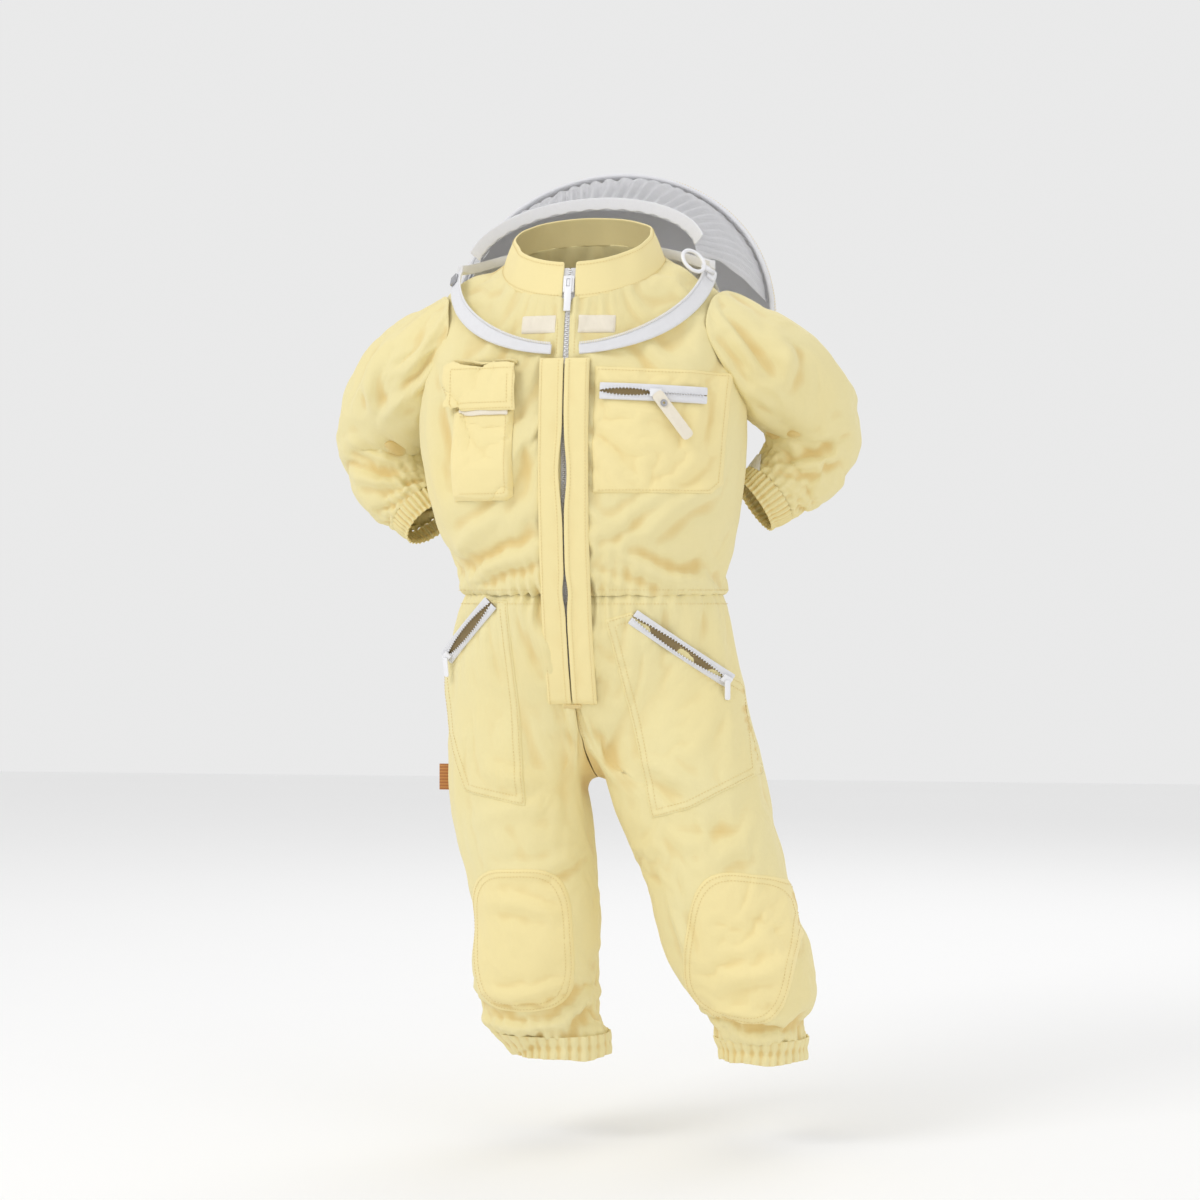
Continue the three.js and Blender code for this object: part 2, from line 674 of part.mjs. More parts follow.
// ---------------------------------------------------------------- zips on an arc over the cloth
// The circle through three points of the torso's front, with the way round it.
function surfaceArc(from, to) {
  const onFront = (x, z) => new THREE.Vector3(x, frontSurface(x, z), z);
  const start = onFront(from[0] * WIDE, from[1] * UP);
  const end = onFront(to[0] * WIDE, to[1] * UP);
  const half = onFront(((from[0] + to[0]) / 2) * WIDE, ((from[1] + to[1]) / 2) * UP);
  const a = start.clone().sub(end);
  const b = half.clone().sub(end);
  const axis = a.clone().cross(b);
  const towards = b.clone().multiplyScalar(a.lengthSq()).sub(a.clone().multiplyScalar(b.lengthSq()));
  const centre = towards.cross(axis).divideScalar(2 * axis.lengthSq()).add(end);
  axis.normalize();
  const out = start.clone().sub(centre);
  const radius = out.length();
  out.normalize();
  const along = axis.clone().cross(out);
  const ray = end.clone().sub(centre).normalize();
  let sweep = Math.atan2(ray.dot(along), ray.dot(out));
  if (sweep < 0) {
    axis.negate();
    along.negate();
    sweep = -sweep;
  }
  return { centre, axis, out, along, radius, sweep };
}

// The direction from such an arc's centre at an angle.
function arcRay(arc, angle) {
  return arc.out.clone().multiplyScalar(Math.cos(angle)).addScaledVector(arc.along, Math.sin(angle));
}

// A bar along such an arc: a rectangle of two depths and two places across, between two angles.
function arcBar(arc, from, to, inner, outer, left, right, steps = 8) {
  const rings = [];
  for (let i = 0; i <= steps; i += 1) {
    const angle = from + ((to - from) * i) / steps;
    const ray = arcRay(arc, angle);
    const place = (depth, across) =>
      arc.centre.clone().addScaledVector(ray, arc.radius + depth).addScaledVector(arc.axis, across);
    rings.push([place(outer, left), place(inner, left), place(inner, right), place(outer, right)]);
  }
  return loft(rings);
}

const SMALL_TAPE_HALF = 8.5;
const SMALL_SLIDER = { half: 4, length: 11, thick: 2.6 };

// A pocket zip: tape, slider at a share of its run, and pull, over cloth of a given build-up.
function pocketZip(name, from, to, cover, share) {
  const arc = surfaceArc(from, to);
  const top = cover + 3.6;
  const pad = 6 / arc.radius;
  const under = name === "chest" ? torsoAt(cover) : trousersAt(cover);
  const tape = arcBar(arc, -pad, arc.sweep + pad, -7, top, -SMALL_TAPE_HALF, SMALL_TAPE_HALF, 10);
  add(`${name}_zip_tape`, tape.subtract(under), WHITE);
  const middleAt = arc.sweep * share;
  const halfTurn = SMALL_SLIDER.length / 2 / arc.radius;
  const face = top + GAP + SMALL_SLIDER.thick;
  const slider = arcBar(
    arc,
    middleAt - halfTurn,
    middleAt + halfTurn,
    top + GAP,
    face,
    -SMALL_SLIDER.half,
    SMALL_SLIDER.half,
    2,
  );
  add(`${name}_zip_slider`, slider, WHITE, 0.4);
  const edge = SMALL_TAPE_HALF + GAP;
  const room = arcBar(arc, -1.5 * pad, arc.sweep + 1.5 * pad, -12, 12, -edge, edge, 10);
  return { arc, face, middleAt, room };
}

// A flat pull that lies over a slider, from its pivot in a direction on the cloth, with its tip lifted.
function flatPull(zip, direction, lift, length, width, thick, hole) {
  const { arc, face, middleAt } = zip;
  const out = arcRay(arc, middleAt);
  const root = arc.centre.clone().addScaledVector(out, arc.radius + face + GAP);
  const flat = direction.clone().addScaledVector(out, -direction.dot(out)).normalize();
  const along = flat.clone().addScaledVector(out, lift).normalize();
  const ray = out.clone().addScaledVector(flat, -lift).normalize();
  const across = along.clone().cross(ray);
  const outline = roundedOutline([length / 2, 0], [length / 2, width / 2], width * 0.3, 2);
  const shape = new THREE.Shape(outline.map((p) => new THREE.Vector2(...p)));
  if (hole) shape.holes.push(new THREE.Path().absarc(hole, 0, 2.4, 0, 2 * Math.PI, true));
  const geometry = new THREE.ExtrudeGeometry(shape, { depth: thick, bevelEnabled: false, curveSegments: 8 });
  const frame = new THREE.Matrix4().makeBasis(along, across.clone().negate(), ray);
  geometry.applyMatrix4(frame.setPosition(root));
  return { made: solid(geometry), root, along, across, ray };
}

const chestZip = pocketZip("chest", [36, -134], [137, -138], GAP + PATCH + GAP, 0.5);
const tagDirection = new THREE.Vector3(0.62, 0, -0.78);
const TAG_HOLE = 13;
const tag = flatPull(chestZip, tagDirection, 0.04, 56, 12, 1.2, TAG_HOLE);
add("chest_zip_tag", tag.made, CREAM);

// A ring turned about the tag's hole.
function eyelet() {
  const profile = [[1.2, -0.4], [2.1, -0.4], [2.1, 1.6], [3.6, 1.6], [3.6, 2.2], [1.2, 2.2]];
  const closed = [...profile, profile[0]].map((p) => new THREE.Vector2(...p));
  const geometry = new THREE.LatheGeometry(closed, 12);
  const frame = new THREE.Matrix4().makeBasis(tag.along, tag.ray, tag.along.clone().cross(tag.ray));
  geometry.applyMatrix4(frame.setPosition(tag.root.clone().addScaledVector(tag.along, TAG_HOLE)));
  return solid(geometry);
}
add("tag_eyelet", eyelet(), STEEL, 0.3, 1);

const hipZips = {
  right: pocketZip("hip_right", [-80, -344], [-137, -401], GAP, 0.94),
  left: pocketZip("hip_left", [65, -358], [156, -424], GAP, 0.94),
};
const hipPulls = {};
for (const [name, zip] of Object.entries(hipZips)) {
  hipPulls[name] = flatPull(zip, new THREE.Vector3(0, 0, -1), 0.35, 20, 6, 1.2, 0);
  add(`hip_${name}_zip_pull`, hipPulls[name].made, WHITE, 0.4);
}

// Pocket bags sewn on the thighs, each hanging from its zip.
const thighOutlines = {
  right: at([[-63, -342], [-47, -551], [-116, -538], [-138, -480], [-150, -402], [-80, -342]]),
  left: at([[38, -362], [80, -563], [120, -552], [188, -517], [176, -432], [156, -424], [65, -354]]),
};
for (const side of ["right", "left"]) {
  const layer = trouserLayer(GAP, GAP + PATCH).intersect(prism(thighOutlines[side], -FAR, -4));
  add(`thigh_panel_${side}`, layer.subtract(hipZips[side].room), WARM_COTTON);
}

// ---------------------------------------------------------------- neck zip
const neckCentre = neckZipPoint(0).setX(0);
const neckAxis = new THREE.Vector3(0, -Math.sin(NECK_ZIP_TILT), Math.cos(NECK_ZIP_TILT));
const neckForward = new THREE.Vector3(0, -Math.cos(NECK_ZIP_TILT), -Math.sin(NECK_ZIP_TILT));
const SQUARE_TURN = Math.PI / 2;

// The direction from the neck circle's centre at an angle from a shoulder.
function neckOut(angle, mirror) {
  const across = ACROSS.clone().multiplyScalar(mirror * Math.cos(angle));
  return across.addScaledVector(neckForward, Math.sin(angle));
}

// A conical bar on the neck zip's circle between two angles from a shoulder.
function neckBar(from, to, inner, outer, low, high, steps, mirror = 1) {
  const rings = [];
  for (let i = 0; i <= steps; i += 1) {
    const angle = from + ((to - from) * i) / steps;
    const out = neckOut(angle, mirror);
    const normal = out.clone().add(neckAxis).normalize();
    const down = out.clone().sub(neckAxis).normalize();
    const circle = neckCentre.clone().addScaledVector(out, NECK_ZIP_RADIUS);
    const place = (depth, across) =>
      circle.clone().addScaledVector(normal, depth).addScaledVector(down, across);
    const corners = [place(outer, low), place(inner, low), place(inner, high), place(outer, high)];
    rings.push(mirror > 0 ? corners : corners.reverse());
  }
  return loft(rings);
}

const NECK_FROM = THREE.MathUtils.degToRad(-2);
const NECK_TO = THREE.MathUtils.degToRad(84);
const NECK_SLIDER_AT = THREE.MathUtils.degToRad(4);
const NECK_SLIDER_THICK = 3;
const neckTop = 3.2; // outer face of the neck zip, over the zip's circle
const neckHalf = NECK_TAPE_WIDTH / 2;
const placketRoom = box([-ZIP_SLOT - GAP, -FAR, -FAR], [ZIP_SLOT + GAP, 0, FAR]);
for (const [name, mirror] of [["right", -1], ["left", 1]]) {
  const tape = neckBar(NECK_FROM, NECK_TO, -12, neckTop, -neckHalf, neckHalf, 14, mirror);
  add(`neck_zip_tape_${name}`, tape.subtract(torsoAt(GAP)).subtract(placketRoom), WHITE);
  const half = 6.5 / NECK_ZIP_RADIUS;
  const from = NECK_SLIDER_AT - half;
  const face = neckTop + GAP + NECK_SLIDER_THICK;
  const slider = neckBar(from, from + 2 * half, neckTop + GAP, face, -4.5, 4.5, 2, mirror);
  add(`neck_zip_slider_${name}`, slider, name === "left" ? WHITE : STEEL, 0.4);
}

// Ring pull on a short link, leaning on the wearer's left shoulder.
const RING_OUTER = 15;
const RING_BAR = 2;
const RING_LINK = 12;
function ringPull() {
  const out = neckOut(NECK_SLIDER_AT, 1);
  const rest = out.clone().add(neckAxis).normalize();
  const seat = neckCentre.clone().addScaledVector(out, NECK_ZIP_RADIUS);
  seat.addScaledVector(rest, neckTop + GAP + NECK_SLIDER_THICK + GAP + RING_BAR);
  const normal = new THREE.Vector3(0.644, -0.579, 0.5).normalize();
  const down = new THREE.Vector3(-0.765, -0.476, 0.433);
  down.addScaledVector(normal, -down.dot(normal)).normalize();
  const radius = RING_OUTER - RING_BAR;
  const loop = new THREE.TorusGeometry(radius, RING_BAR, 6, 16);
  loop.translate(radius + RING_LINK, 0, 0);
  const link = new THREE.BoxGeometry(RING_LINK + RING_BAR, 5, 2 * RING_BAR - 1);
  link.translate(RING_LINK / 2, 0, 0);
  const frame = new THREE.Matrix4().makeBasis(down, normal.clone().cross(down), normal).setPosition(seat);
  const made = solid(loop.applyMatrix4(frame)).add(solid(link.applyMatrix4(frame)));
  return { made, seat, down, normal };
}
const neckRing = ringPull();
add("ring_pull", neckRing.made, WHITE, 0.4);

// Rear half of the neck zip, round the nape.
function napePoint(u, v) {
  const angle = u * Math.PI;
  const rise = Math.sin(angle);
  const half = NECK_ZIP_RADIUS + PATCH;
  return new THREE.Vector3(half * Math.cos(angle), 72 * WIDE * rise, 2 + 30 * rise ** 2 + v * 10 - 5);
}
const napeTape = slab((u, v) => napePoint(0.02 + 0.96 * u, v), 16, 1, 6)
  .subtract(torsoAt(GAP))
  .subtract(collarForm(GAP, 30, 20));
add("neck_zip_tape_back", napeTape, WHITE);

// ---------------------------------------------------------------- small trim
const labelZ = -526 * UP;
const label = box([-153 * WIDE, -4, labelZ - 13.5], [-130 * WIDE, -2, labelZ + 13.5]);
add("side_label", label.subtract(trousersAt(GAP)), LABEL);
const tabLayer = arm("left", GAP + PATCH, 0, SLEEVE_END).subtract(arm("left", GAP, 0, SLEEVE_END));
const tabOutline = square(160, 178, -216, -190);
add("sleeve_tab", tabLayer.intersect(prism(tabOutline, -FAR, 60)), WHITE);

// ---------------------------------------------------------------- hood
// The hood is drawn as it is worn, then turned back about the line through the shoulders.
const hood = new THREE.Group();
hood.rotation.x = -HOOD_BACK;
part.add(hood);

function turned(profile, facets) {
  const points = [...profile, profile[0]].map((p) => new THREE.Vector2(...p));
  const geometry = new THREE.LatheGeometry(points, facets);
  geometry.rotateX(Math.PI / 2);
  geometry.translate(0, HOOP_SET_BACK, HOOP_HEIGHT);
  return geometry;
}

function hoodSolid(profile, facets = HOOD_FACETS) {
  const made = solid(turned(profile, facets));
  return made.volume() < 0 ? solid(turned(profile.reverse(), facets)) : made;
}

const rimHalf = RIM_BAND / 2;
const rimIn = HOOP_RADIUS - RIM_THICK / 2;
const rimOut = HOOP_RADIUS + RIM_THICK / 2;
const rimProfile = [
  [rimIn, -rimHalf],
  [rimOut, -rimHalf + 2],
  [rimOut, rimHalf - 2],
  [rimIn, rimHalf],
];
add("hood_rim", hoodSolid(rimProfile), WHITE, 0.9, 0, hood);

function crownProfile() {
  const outer = [];
  const inner = [];
  for (let i = 0; i <= CROWN_STEPS; i += 1) {
    const angle = (i / CROWN_STEPS) * SQUARE_TURN * 0.985;
    const reach = Math.cos(angle) ** 0.8;
    const height = rimHalf + GAP + CROWN_HEIGHT * Math.sin(angle);
    outer.push([Math.max((HOOP_RADIUS - 1) * reach, 1), height]);
    inner.push([Math.max((HOOP_RADIUS - 1 - CLOTH) * reach - 0.5, 0.5), height - (i ? CLOTH : 0)]);
  }
  outer[CROWN_STEPS][0] = 0;
  inner[CROWN_STEPS][0] = 0;
  return { outer, inner };
}

function crown() {
  const { outer, inner } = crownProfile();
  const points = [...inner.reverse(), ...outer].map((p) => new THREE.Vector2(...p));
  const geometry = new THREE.LatheGeometry(points, HOOD_FACETS);
  geometry.rotateX(Math.PI / 2);
  geometry.translate(0, HOOP_SET_BACK, HOOP_HEIGHT);
  return solid(geometry);
}
add("hood_crown", crown(), WHITE, 0.9, 0, hood);

// Places on the thrown-back hood, in the suit's frame.
const back = new THREE.Matrix4().makeRotationX(-HOOD_BACK);
function rimPlace(u, front) {
  const angle = u * Math.PI;
  const y = (front ? -1 : 1) * Math.sin(angle) * (rimIn - 2);
  const point = new THREE.Vector3((rimIn - 2) * Math.cos(angle), HOOP_SET_BACK + y, HOOP_HEIGHT - 4);
  return point.applyMatrix4(back);
}

// The veil's hem: a band that meets the neck zip's upper edge when the veil is shut, turned back at rest.
const HEM_BAR = 2.4;
const HEM_HALF = 7;
const hemStep = (neckHalf + HEM_HALF + 1.5) * Math.SQRT1_2; // in from the zip's circle, and up its axis
const hemRadius = NECK_ZIP_RADIUS - hemStep;
const shutCentre = neckCentre.clone().addScaledVector(neckAxis, hemStep);
const hemCentre = shutCentre.clone().applyMatrix4(back);
const hemForward = new THREE.Vector3(0, Math.cos(HEM_REST), Math.sin(HEM_REST));
const hemAxis = new THREE.Vector3(0, Math.sin(HEM_REST), -Math.cos(HEM_REST));
function hemPlace(u, across) {
  const angle = u * Math.PI;
  const out = new THREE.Vector3(Math.cos(angle), 0, 0).addScaledVector(hemForward, Math.sin(angle));
  const down = out.clone().sub(hemAxis).normalize();
  return hemCentre.clone().addScaledVector(out, hemRadius).addScaledVector(down, across);
}
const HEM_START = 0.09; // the tape starts clear of the ring pull, as a share of the half circle
const HEM_END = 0.98;
const hemShare = (u) => HEM_START + (HEM_END - HEM_START) * u;
function hemBand(half, thickness) {
  return slab((u, v) => hemPlace(hemShare(u), half * (2 * v - 1)), 16, 1, thickness);
}
add("veil_hem_tape", hemBand(HEM_HALF, HEM_BAR), WHITE);

const VEIL_ENDS = 0.03; // the nets stop a little short of the side seams
const NAPE_ENDS = 0.1;
function veil(u, v) {
  const share = VEIL_ENDS + (1 - 2 * VEIL_ENDS) * u;
  const low = hemPlace(share, -HEM_HALF - 0.6);
  const high = rimPlace(share, true);
  const point = low.lerp(high, v);
  const swell = Math.sin(v * Math.PI);
  return point.add(new THREE.Vector3(0, 14 * swell * Math.sin(share * Math.PI), 12 * swell));
}
const hemRoom = hemBand(HEM_HALF + GAP, HEM_BAR + 2 * GAP);
add("veil_net", slab(veil, 14, 3, NET).subtract(hemRoom), NETTING);

function napeNet(u, v) {
  const share = NAPE_ENDS + (1 - 2 * NAPE_ENDS) * u;
  const low = napePoint(0.02 + 0.96 * share, 1).add(new THREE.Vector3(0, 8, -4));
  const high = rimPlace(share, false);
  const point = low.lerp(high, v);
  const swell = Math.sin(v * Math.PI);
  return point.add(new THREE.Vector3(0, 42 * swell * Math.sin(share * Math.PI), -8 * swell));
}
add("nape_net", slab(napeNet, 14, 4, NET).subtract(torsoAt(1)), NETTING);

export default part;
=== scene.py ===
"""A child's beekeeping suit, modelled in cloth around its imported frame.

Laid out as an add-on: sizes and colours are properties, each group of pieces has an operator,
and a panel lists them. Metres, +Z up, the wearer faces -Y and the wearer's left is +X.
"""

import json
import math

import bmesh
import bpy
import numpy as np
from mathutils import Matrix, Vector, noise
from mathutils.bvhtree import BVHTree


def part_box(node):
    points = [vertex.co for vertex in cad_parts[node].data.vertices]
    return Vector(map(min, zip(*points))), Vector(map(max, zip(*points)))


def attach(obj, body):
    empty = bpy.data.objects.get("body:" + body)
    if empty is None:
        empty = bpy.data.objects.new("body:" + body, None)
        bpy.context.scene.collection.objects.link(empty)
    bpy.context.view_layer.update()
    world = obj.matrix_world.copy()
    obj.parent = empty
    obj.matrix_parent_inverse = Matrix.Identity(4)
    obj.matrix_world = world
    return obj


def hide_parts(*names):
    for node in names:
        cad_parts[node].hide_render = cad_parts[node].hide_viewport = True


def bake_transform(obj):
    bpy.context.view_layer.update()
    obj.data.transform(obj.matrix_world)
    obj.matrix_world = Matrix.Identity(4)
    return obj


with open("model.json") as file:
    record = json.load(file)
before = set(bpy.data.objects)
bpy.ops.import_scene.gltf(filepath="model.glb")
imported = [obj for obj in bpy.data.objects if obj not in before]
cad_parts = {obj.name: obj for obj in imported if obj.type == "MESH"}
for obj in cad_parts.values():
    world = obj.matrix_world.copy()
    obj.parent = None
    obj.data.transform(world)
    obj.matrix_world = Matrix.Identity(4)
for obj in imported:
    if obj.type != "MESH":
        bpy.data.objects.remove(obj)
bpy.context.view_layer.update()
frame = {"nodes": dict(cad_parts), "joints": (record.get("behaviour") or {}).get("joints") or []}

bl_info = {
    "name": "Beekeeping suit",
    "version": (1, 0, 0),
    "blender": (4, 5, 0),
    "location": "View3D > Sidebar > Suit",
    "description": "Builds the cloth, nets and zips of a child's beekeeping suit around its frame",
    "category": "Object",
}

MM = 0.001
SKINS = {}  # trees of the finished bodice and trousers, for the pieces laid on them


# ---------------------------------------------------------------- the frame
def joint(name):
    return next(entry for entry in frame["joints"] if entry["name"] == name)


def cad_points(*nodes):
    return np.array([v.co for node in nodes for v in frame["nodes"][node].data.vertices])


def cad_tree(*nodes):
    made = bmesh.new()
    for node in nodes:
        made.from_mesh(frame["nodes"][node].data)
    bmesh.ops.remove_doubles(made, verts=made.verts, dist=1e-6)
    tree = BVHTree.FromBMesh(made)
    made.free()
    return tree


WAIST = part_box("back_panel")[0].z
HEM_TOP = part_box("ankle_hem_left")[1].z
ZIP_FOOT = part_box("main_zip_chain")[0].z
ZIP_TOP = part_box("main_zip_chain")[1].z
ARC_Y, ARC_Z = joint("main_zip_run")["pos_m"][1:]
ARC_RADIUS = 0.589  # circle that the front edge follows
COLLAR_LOW, COLLAR_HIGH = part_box("collar")
COLLAR_HALF = COLLAR_HIGH.x
COLLAR_FRONT = -COLLAR_LOW.y
COLLAR_BACK = COLLAR_HIGH.y
COLLAR_RISE = 0.005  # level of the collar's seam at the shoulders
COLLAR_TILT = 0.468  # its rise towards the nape, per unit of depth
COLLAR_HEIGHT = 0.034


def front_depth(z, lift=0.0):
    return ARC_Y - math.sqrt((ARC_RADIUS + lift) ** 2 - (z - ARC_Z) ** 2)


# ---------------------------------------------------------------- maths
def smooth(low, high, value):
    share = np.clip((value - low) / (high - low), 0, 1)
    return share * share * (3 - 2 * share)


def unit(vector):
    return vector / np.linalg.norm(vector)


def curve_at(places, t):
    """A point of the smooth curve through places, with t from 0 to 1."""
    places = np.asarray(places, float)
    t = min(max(t, 0.0), 1.0) * (len(places) - 1)
    i = min(int(t), len(places) - 2)
    a, b, c, d = (places[min(max(i + k, 0), len(places) - 1)] for k in (-1, 0, 1, 2))
    s = t - i
    return 0.5 * (2 * b + (c - a) * s + (2 * a - 5 * b + 4 * c - d) * s**2 + (3 * b - a - 3 * c + d) * s**3)


def cast(tree, centre, direction, reach):
    """Distance from centre to the outside of a form along a direction, or nan where it is open."""
    start = Vector(centre + direction * reach)
    place, normal, _, _ = tree.ray_cast(start, Vector(-direction), reach)
    if place is None or normal.dot(Vector(direction)) < 0.05:
        return math.nan
    return float((np.array(place) - centre) @ direction)


def fill_open(radii, around=True, rounds=300):
    """Carries a form's radii smoothly across the places where it is open."""
    blank = np.isnan(radii)
    made = np.where(blank, np.nanmean(radii), radii)
    for _ in range(rounds):
        tall = np.pad(made, ((1, 1), (0, 0)), mode="edge")
        wide = np.pad(made, ((0, 0), (1, 1)), mode="wrap" if around else "edge")
        mean = (tall[:-2] + tall[2:] + wide[:, :-2] + wide[:, 2:]) / 4
        made = np.where(blank, mean, made)
    return made, blank


def wander(point, pitch, seed=0.0):
    """Smooth seeded noise from -1 to 1."""
    return noise.noise(Vector(point) / pitch + Vector((seed, 3.7 * seed, -seed)))


# ---------------------------------------------------------------- meshes
def cloth_grid(places, size, panel_of=None):
    """A bmesh grid through an array of places, with its cloth's own metres as UV."""
    rows, columns = places.shape[0] - 1, places.shape[1] - 1
    made = bmesh.new()
    bmesh.ops.create_grid(made, x_segments=columns, y_segments=rows, size=0.5)
    layer = made.loops.layers.uv.new("cloth")
    spots = {v: (round((v.co.y + 0.5) * rows), round((v.co.x + 0.5) * columns)) for v in made.verts}
    for face in made.faces:
        for loop in face.loops:
            row, column = spots[loop.vert]
            loop[layer].uv = (size[0] * column / columns, size[1] * row / rows)
        if panel_of:
            corners = [spots[v] for v in face.verts]
            face.material_index = panel_of(min(c[0] for c in corners), min(c[1] for c in corners))
    for vert, (row, column) in spots.items():
        vert.co = places[row, column]
    return made


def surface(columns, rows, size, place, panel_of=None):
    """The same from a function of u and v, each from 0 to 1."""
    spots = [[place(i / columns, j / rows) for i in range(columns + 1)] for j in range(rows + 1)]
    return cloth_grid(np.array([[list(p) for p in row] for row in spots]), size, panel_of)


def as_object(made, name, weld=0.0, outwards=True):
    if weld:
        bmesh.ops.remove_doubles(made, verts=made.verts, dist=weld)
    if outwards:
        bmesh.ops.recalc_face_normals(made, faces=made.faces)
    mesh = bpy.data.meshes.new(name)
    made.to_mesh(mesh)
    made.free()
    piece = bpy.data.objects.new(name, mesh)
    bpy.context.scene.collection.objects.link(piece)
    for polygon in mesh.polygons:
        polygon.use_smooth = True
    return piece


def joined(parts):
    """One bmesh from several."""
    whole = bmesh.new()
    for part in parts:
        mesh = bpy.data.meshes.new("part")
        part.to_mesh(mesh)
        part.free()
        whole.from_mesh(mesh)
        bpy.data.meshes.remove(mesh)
    return whole


def points_of(piece):
    found = np.zeros(len(piece.data.vertices) * 3)
    piece.data.vertices.foreach_get("co", found)
    return found.reshape(-1, 3)


def set_points(piece, points):
    piece.data.vertices.foreach_set("co", points.astype(np.float32).ravel())
    piece.data.update()


def normals_of(piece):
    found = np.zeros(len(piece.data.vertices) * 3)
    piece.data.vertex_normals.foreach_get("vector", found)
    return found.reshape(-1, 3)


def edges_of(piece):
    found = np.zeros(len(piece.data.edges) * 2, dtype=np.int64)
    piece.data.edges.foreach_get("vertices", found)
    return found.reshape(-1, 2)


def border_edges(piece):
    keys = {}
    for polygon in piece.data.polygons:
        for key in polygon.edge_keys:
            keys[key] = keys.get(key, 0) + 1
    return np.array([key for key, uses in keys.items() if uses == 1]).reshape(-1, 2)


def neighbour_mean(values, edges):
    total = np.zeros_like(values)
    np.add.at(total, edges[:, 0], values[edges[:, 1]])
    np.add.at(total, edges[:, 1], values[edges[:, 0]])
    counts = np.bincount(edges.ravel(), minlength=len(values)).astype(float)
    counts[counts == 0] = 1
    return total / (counts[:, None] if values.ndim > 1 else counts)


def relax(piece, rounds, share=0.5):
    """Smooths a skin, and its free edges along themselves."""
    points, edges, border = points_of(piece), edges_of(piece), border_edges(piece)
    on_border = np.zeros(len(points), bool)
    if len(border):
        on_border[border.ravel()] = True
        degree = np.bincount(border.ravel(), minlength=len(points))
    for _ in range(rounds):
        mean = neighbour_mean(points, edges)
        if len(border):
            along = neighbour_mean(points, border)
            mean = np.where((on_border & (degree == 2))[:, None], along, mean)
            mean = np.where((on_border & (degree != 2))[:, None], points, mean)
        points = points + share * (mean - points)
    set_points(piece, points)


def tree_of(piece):
    made = bmesh.new()
    made.from_mesh(piece.data)
    tree = BVHTree.FromBMesh(made)
    made.free()
    return tree


def add_folds(piece, folds, facing=-1):
    """Raises ridges with valleys beside them along lines given as x, z, x, z, width, height in mm."""
    points = points_of(piece)
    tree = tree_of(piece)
    push = np.zeros(len(points))
    for number, (x0, z0, x1, z1, width, height) in enumerate(folds):
        ends = []
        for x, z in ((x0, z0), (x1, z1)):
            start = Vector((x * MM, facing * 0.5, z * MM))
            hit = tree.ray_cast(start, Vector((0, -facing, 0)))[0]
            if hit is None:
                hit = tree.find_nearest(Vector((x * MM, facing * 0.06, z * MM)))[0]
            ends.append(np.array(hit))
        line = ends[1] - ends[0]
        length = np.linalg.norm(line)
        along = (points - ends[0]) @ line / length**2
        bow = 0.07 * length * np.sin(np.pi * np.clip(along, 0, 1)) * (1 if number % 2 else -1)
        side = unit(np.cross(line, (0, facing, 0)))
        away = points - ends[0] - np.clip(along, 0, 1)[:, None] * line - bow[:, None] * side
        across = away @ side
        rest = np.linalg.norm(away - across[:, None] * side, axis=1)
        near = np.exp(-((rest / 0.03) ** 2))
        span = width * MM
        ridge = np.exp(-((across / span) ** 2))
        valley = np.exp(-(((np.abs(across) - 1.7 * span) / span) ** 2))
        taper = np.sin(np.pi * np.clip(along, 0, 1)) ** 0.8
        push += 1.4 * height * MM * (ridge - 0.6 * valley) * taper * near
    set_points(piece, points + normals_of(piece) * push[:, None])


def crinkle(piece, height, pitch, seed, stretch=(1, 1, 1)):
    """Small drawn-out creases from folded noise."""
    points, normals = points_of(piece), normals_of(piece)
    scale = np.array(stretch, float)
    push = np.zeros(len(points))
    for i, point in enumerate(points * scale):
        bend = wander(point, pitch * 2.3, seed + 9) * 0.7
        value = wander(point + bend * pitch, pitch, seed)
        push[i] = 0.5 - abs(value) * 1.6
    set_points(piece, points + normals * (push * height)[:, None])


def drape(piece, growth, hold, seed, frames=14, cap=0.011):
    """Lets a slightly over-long cloth buckle into creases about its form, by cloth simulation."""
    start = points_of(piece)
    border = set(border_edges(piece).ravel().tolist())
    group = piece.vertex_groups.new(name="hold")
    for index in range(len(start)):
        loose = hold * (0.6 + 0.8 * max(wander(start[index], 0.06, seed), 0))
        group.add([index], 1.0 if index in border else loose, "REPLACE")
    shaken = start + normals_of(piece) * np.array(
        [[wander(p, 0.011, seed) * 0.0009 + wander(p, 0.028, seed + 4) * 0.0016] for p in start]
    )
    set_points(piece, shaken)
    modifier = piece.modifiers.new("Cloth", "CLOTH")
    settings = modifier.settings
    settings.quality = 4
    settings.mass = 0.12
    settings.tension_stiffness = settings.compression_stiffness = 12
    settings.shear_stiffness = 4
    settings.bending_stiffness = 0.35
    settings.air_damping = 2
    settings.vertex_group_mass = "hold"
    settings.pin_stiffness = 1.0
    settings.shrink_min = -growth
    settings.use_pressure = True
    settings.uniform_pressure_force = 1.2
    settings.effector_weights.gravity = 0.35
    modifier.collision_settings.use_collision = False
    modifier.point_cache.frame_start = 1
    modifier.point_cache.frame_end = frames
    scene = bpy.context.scene
    for number in range(1, frames + 1):
        scene.frame_set(number)
    graph = bpy.context.evaluated_depsgraph_get()
    result = np.array([v.co for v in piece.evaluated_get(graph).data.vertices])
    piece.modifiers.remove(modifier)
    scene.frame_set(1)
    moved = result - start
    far = np.linalg.norm(moved, axis=1)
    moved *= (cap * np.tanh(far / cap) / np.maximum(far, 1e-9))[:, None]
    set_points(piece, start + moved)


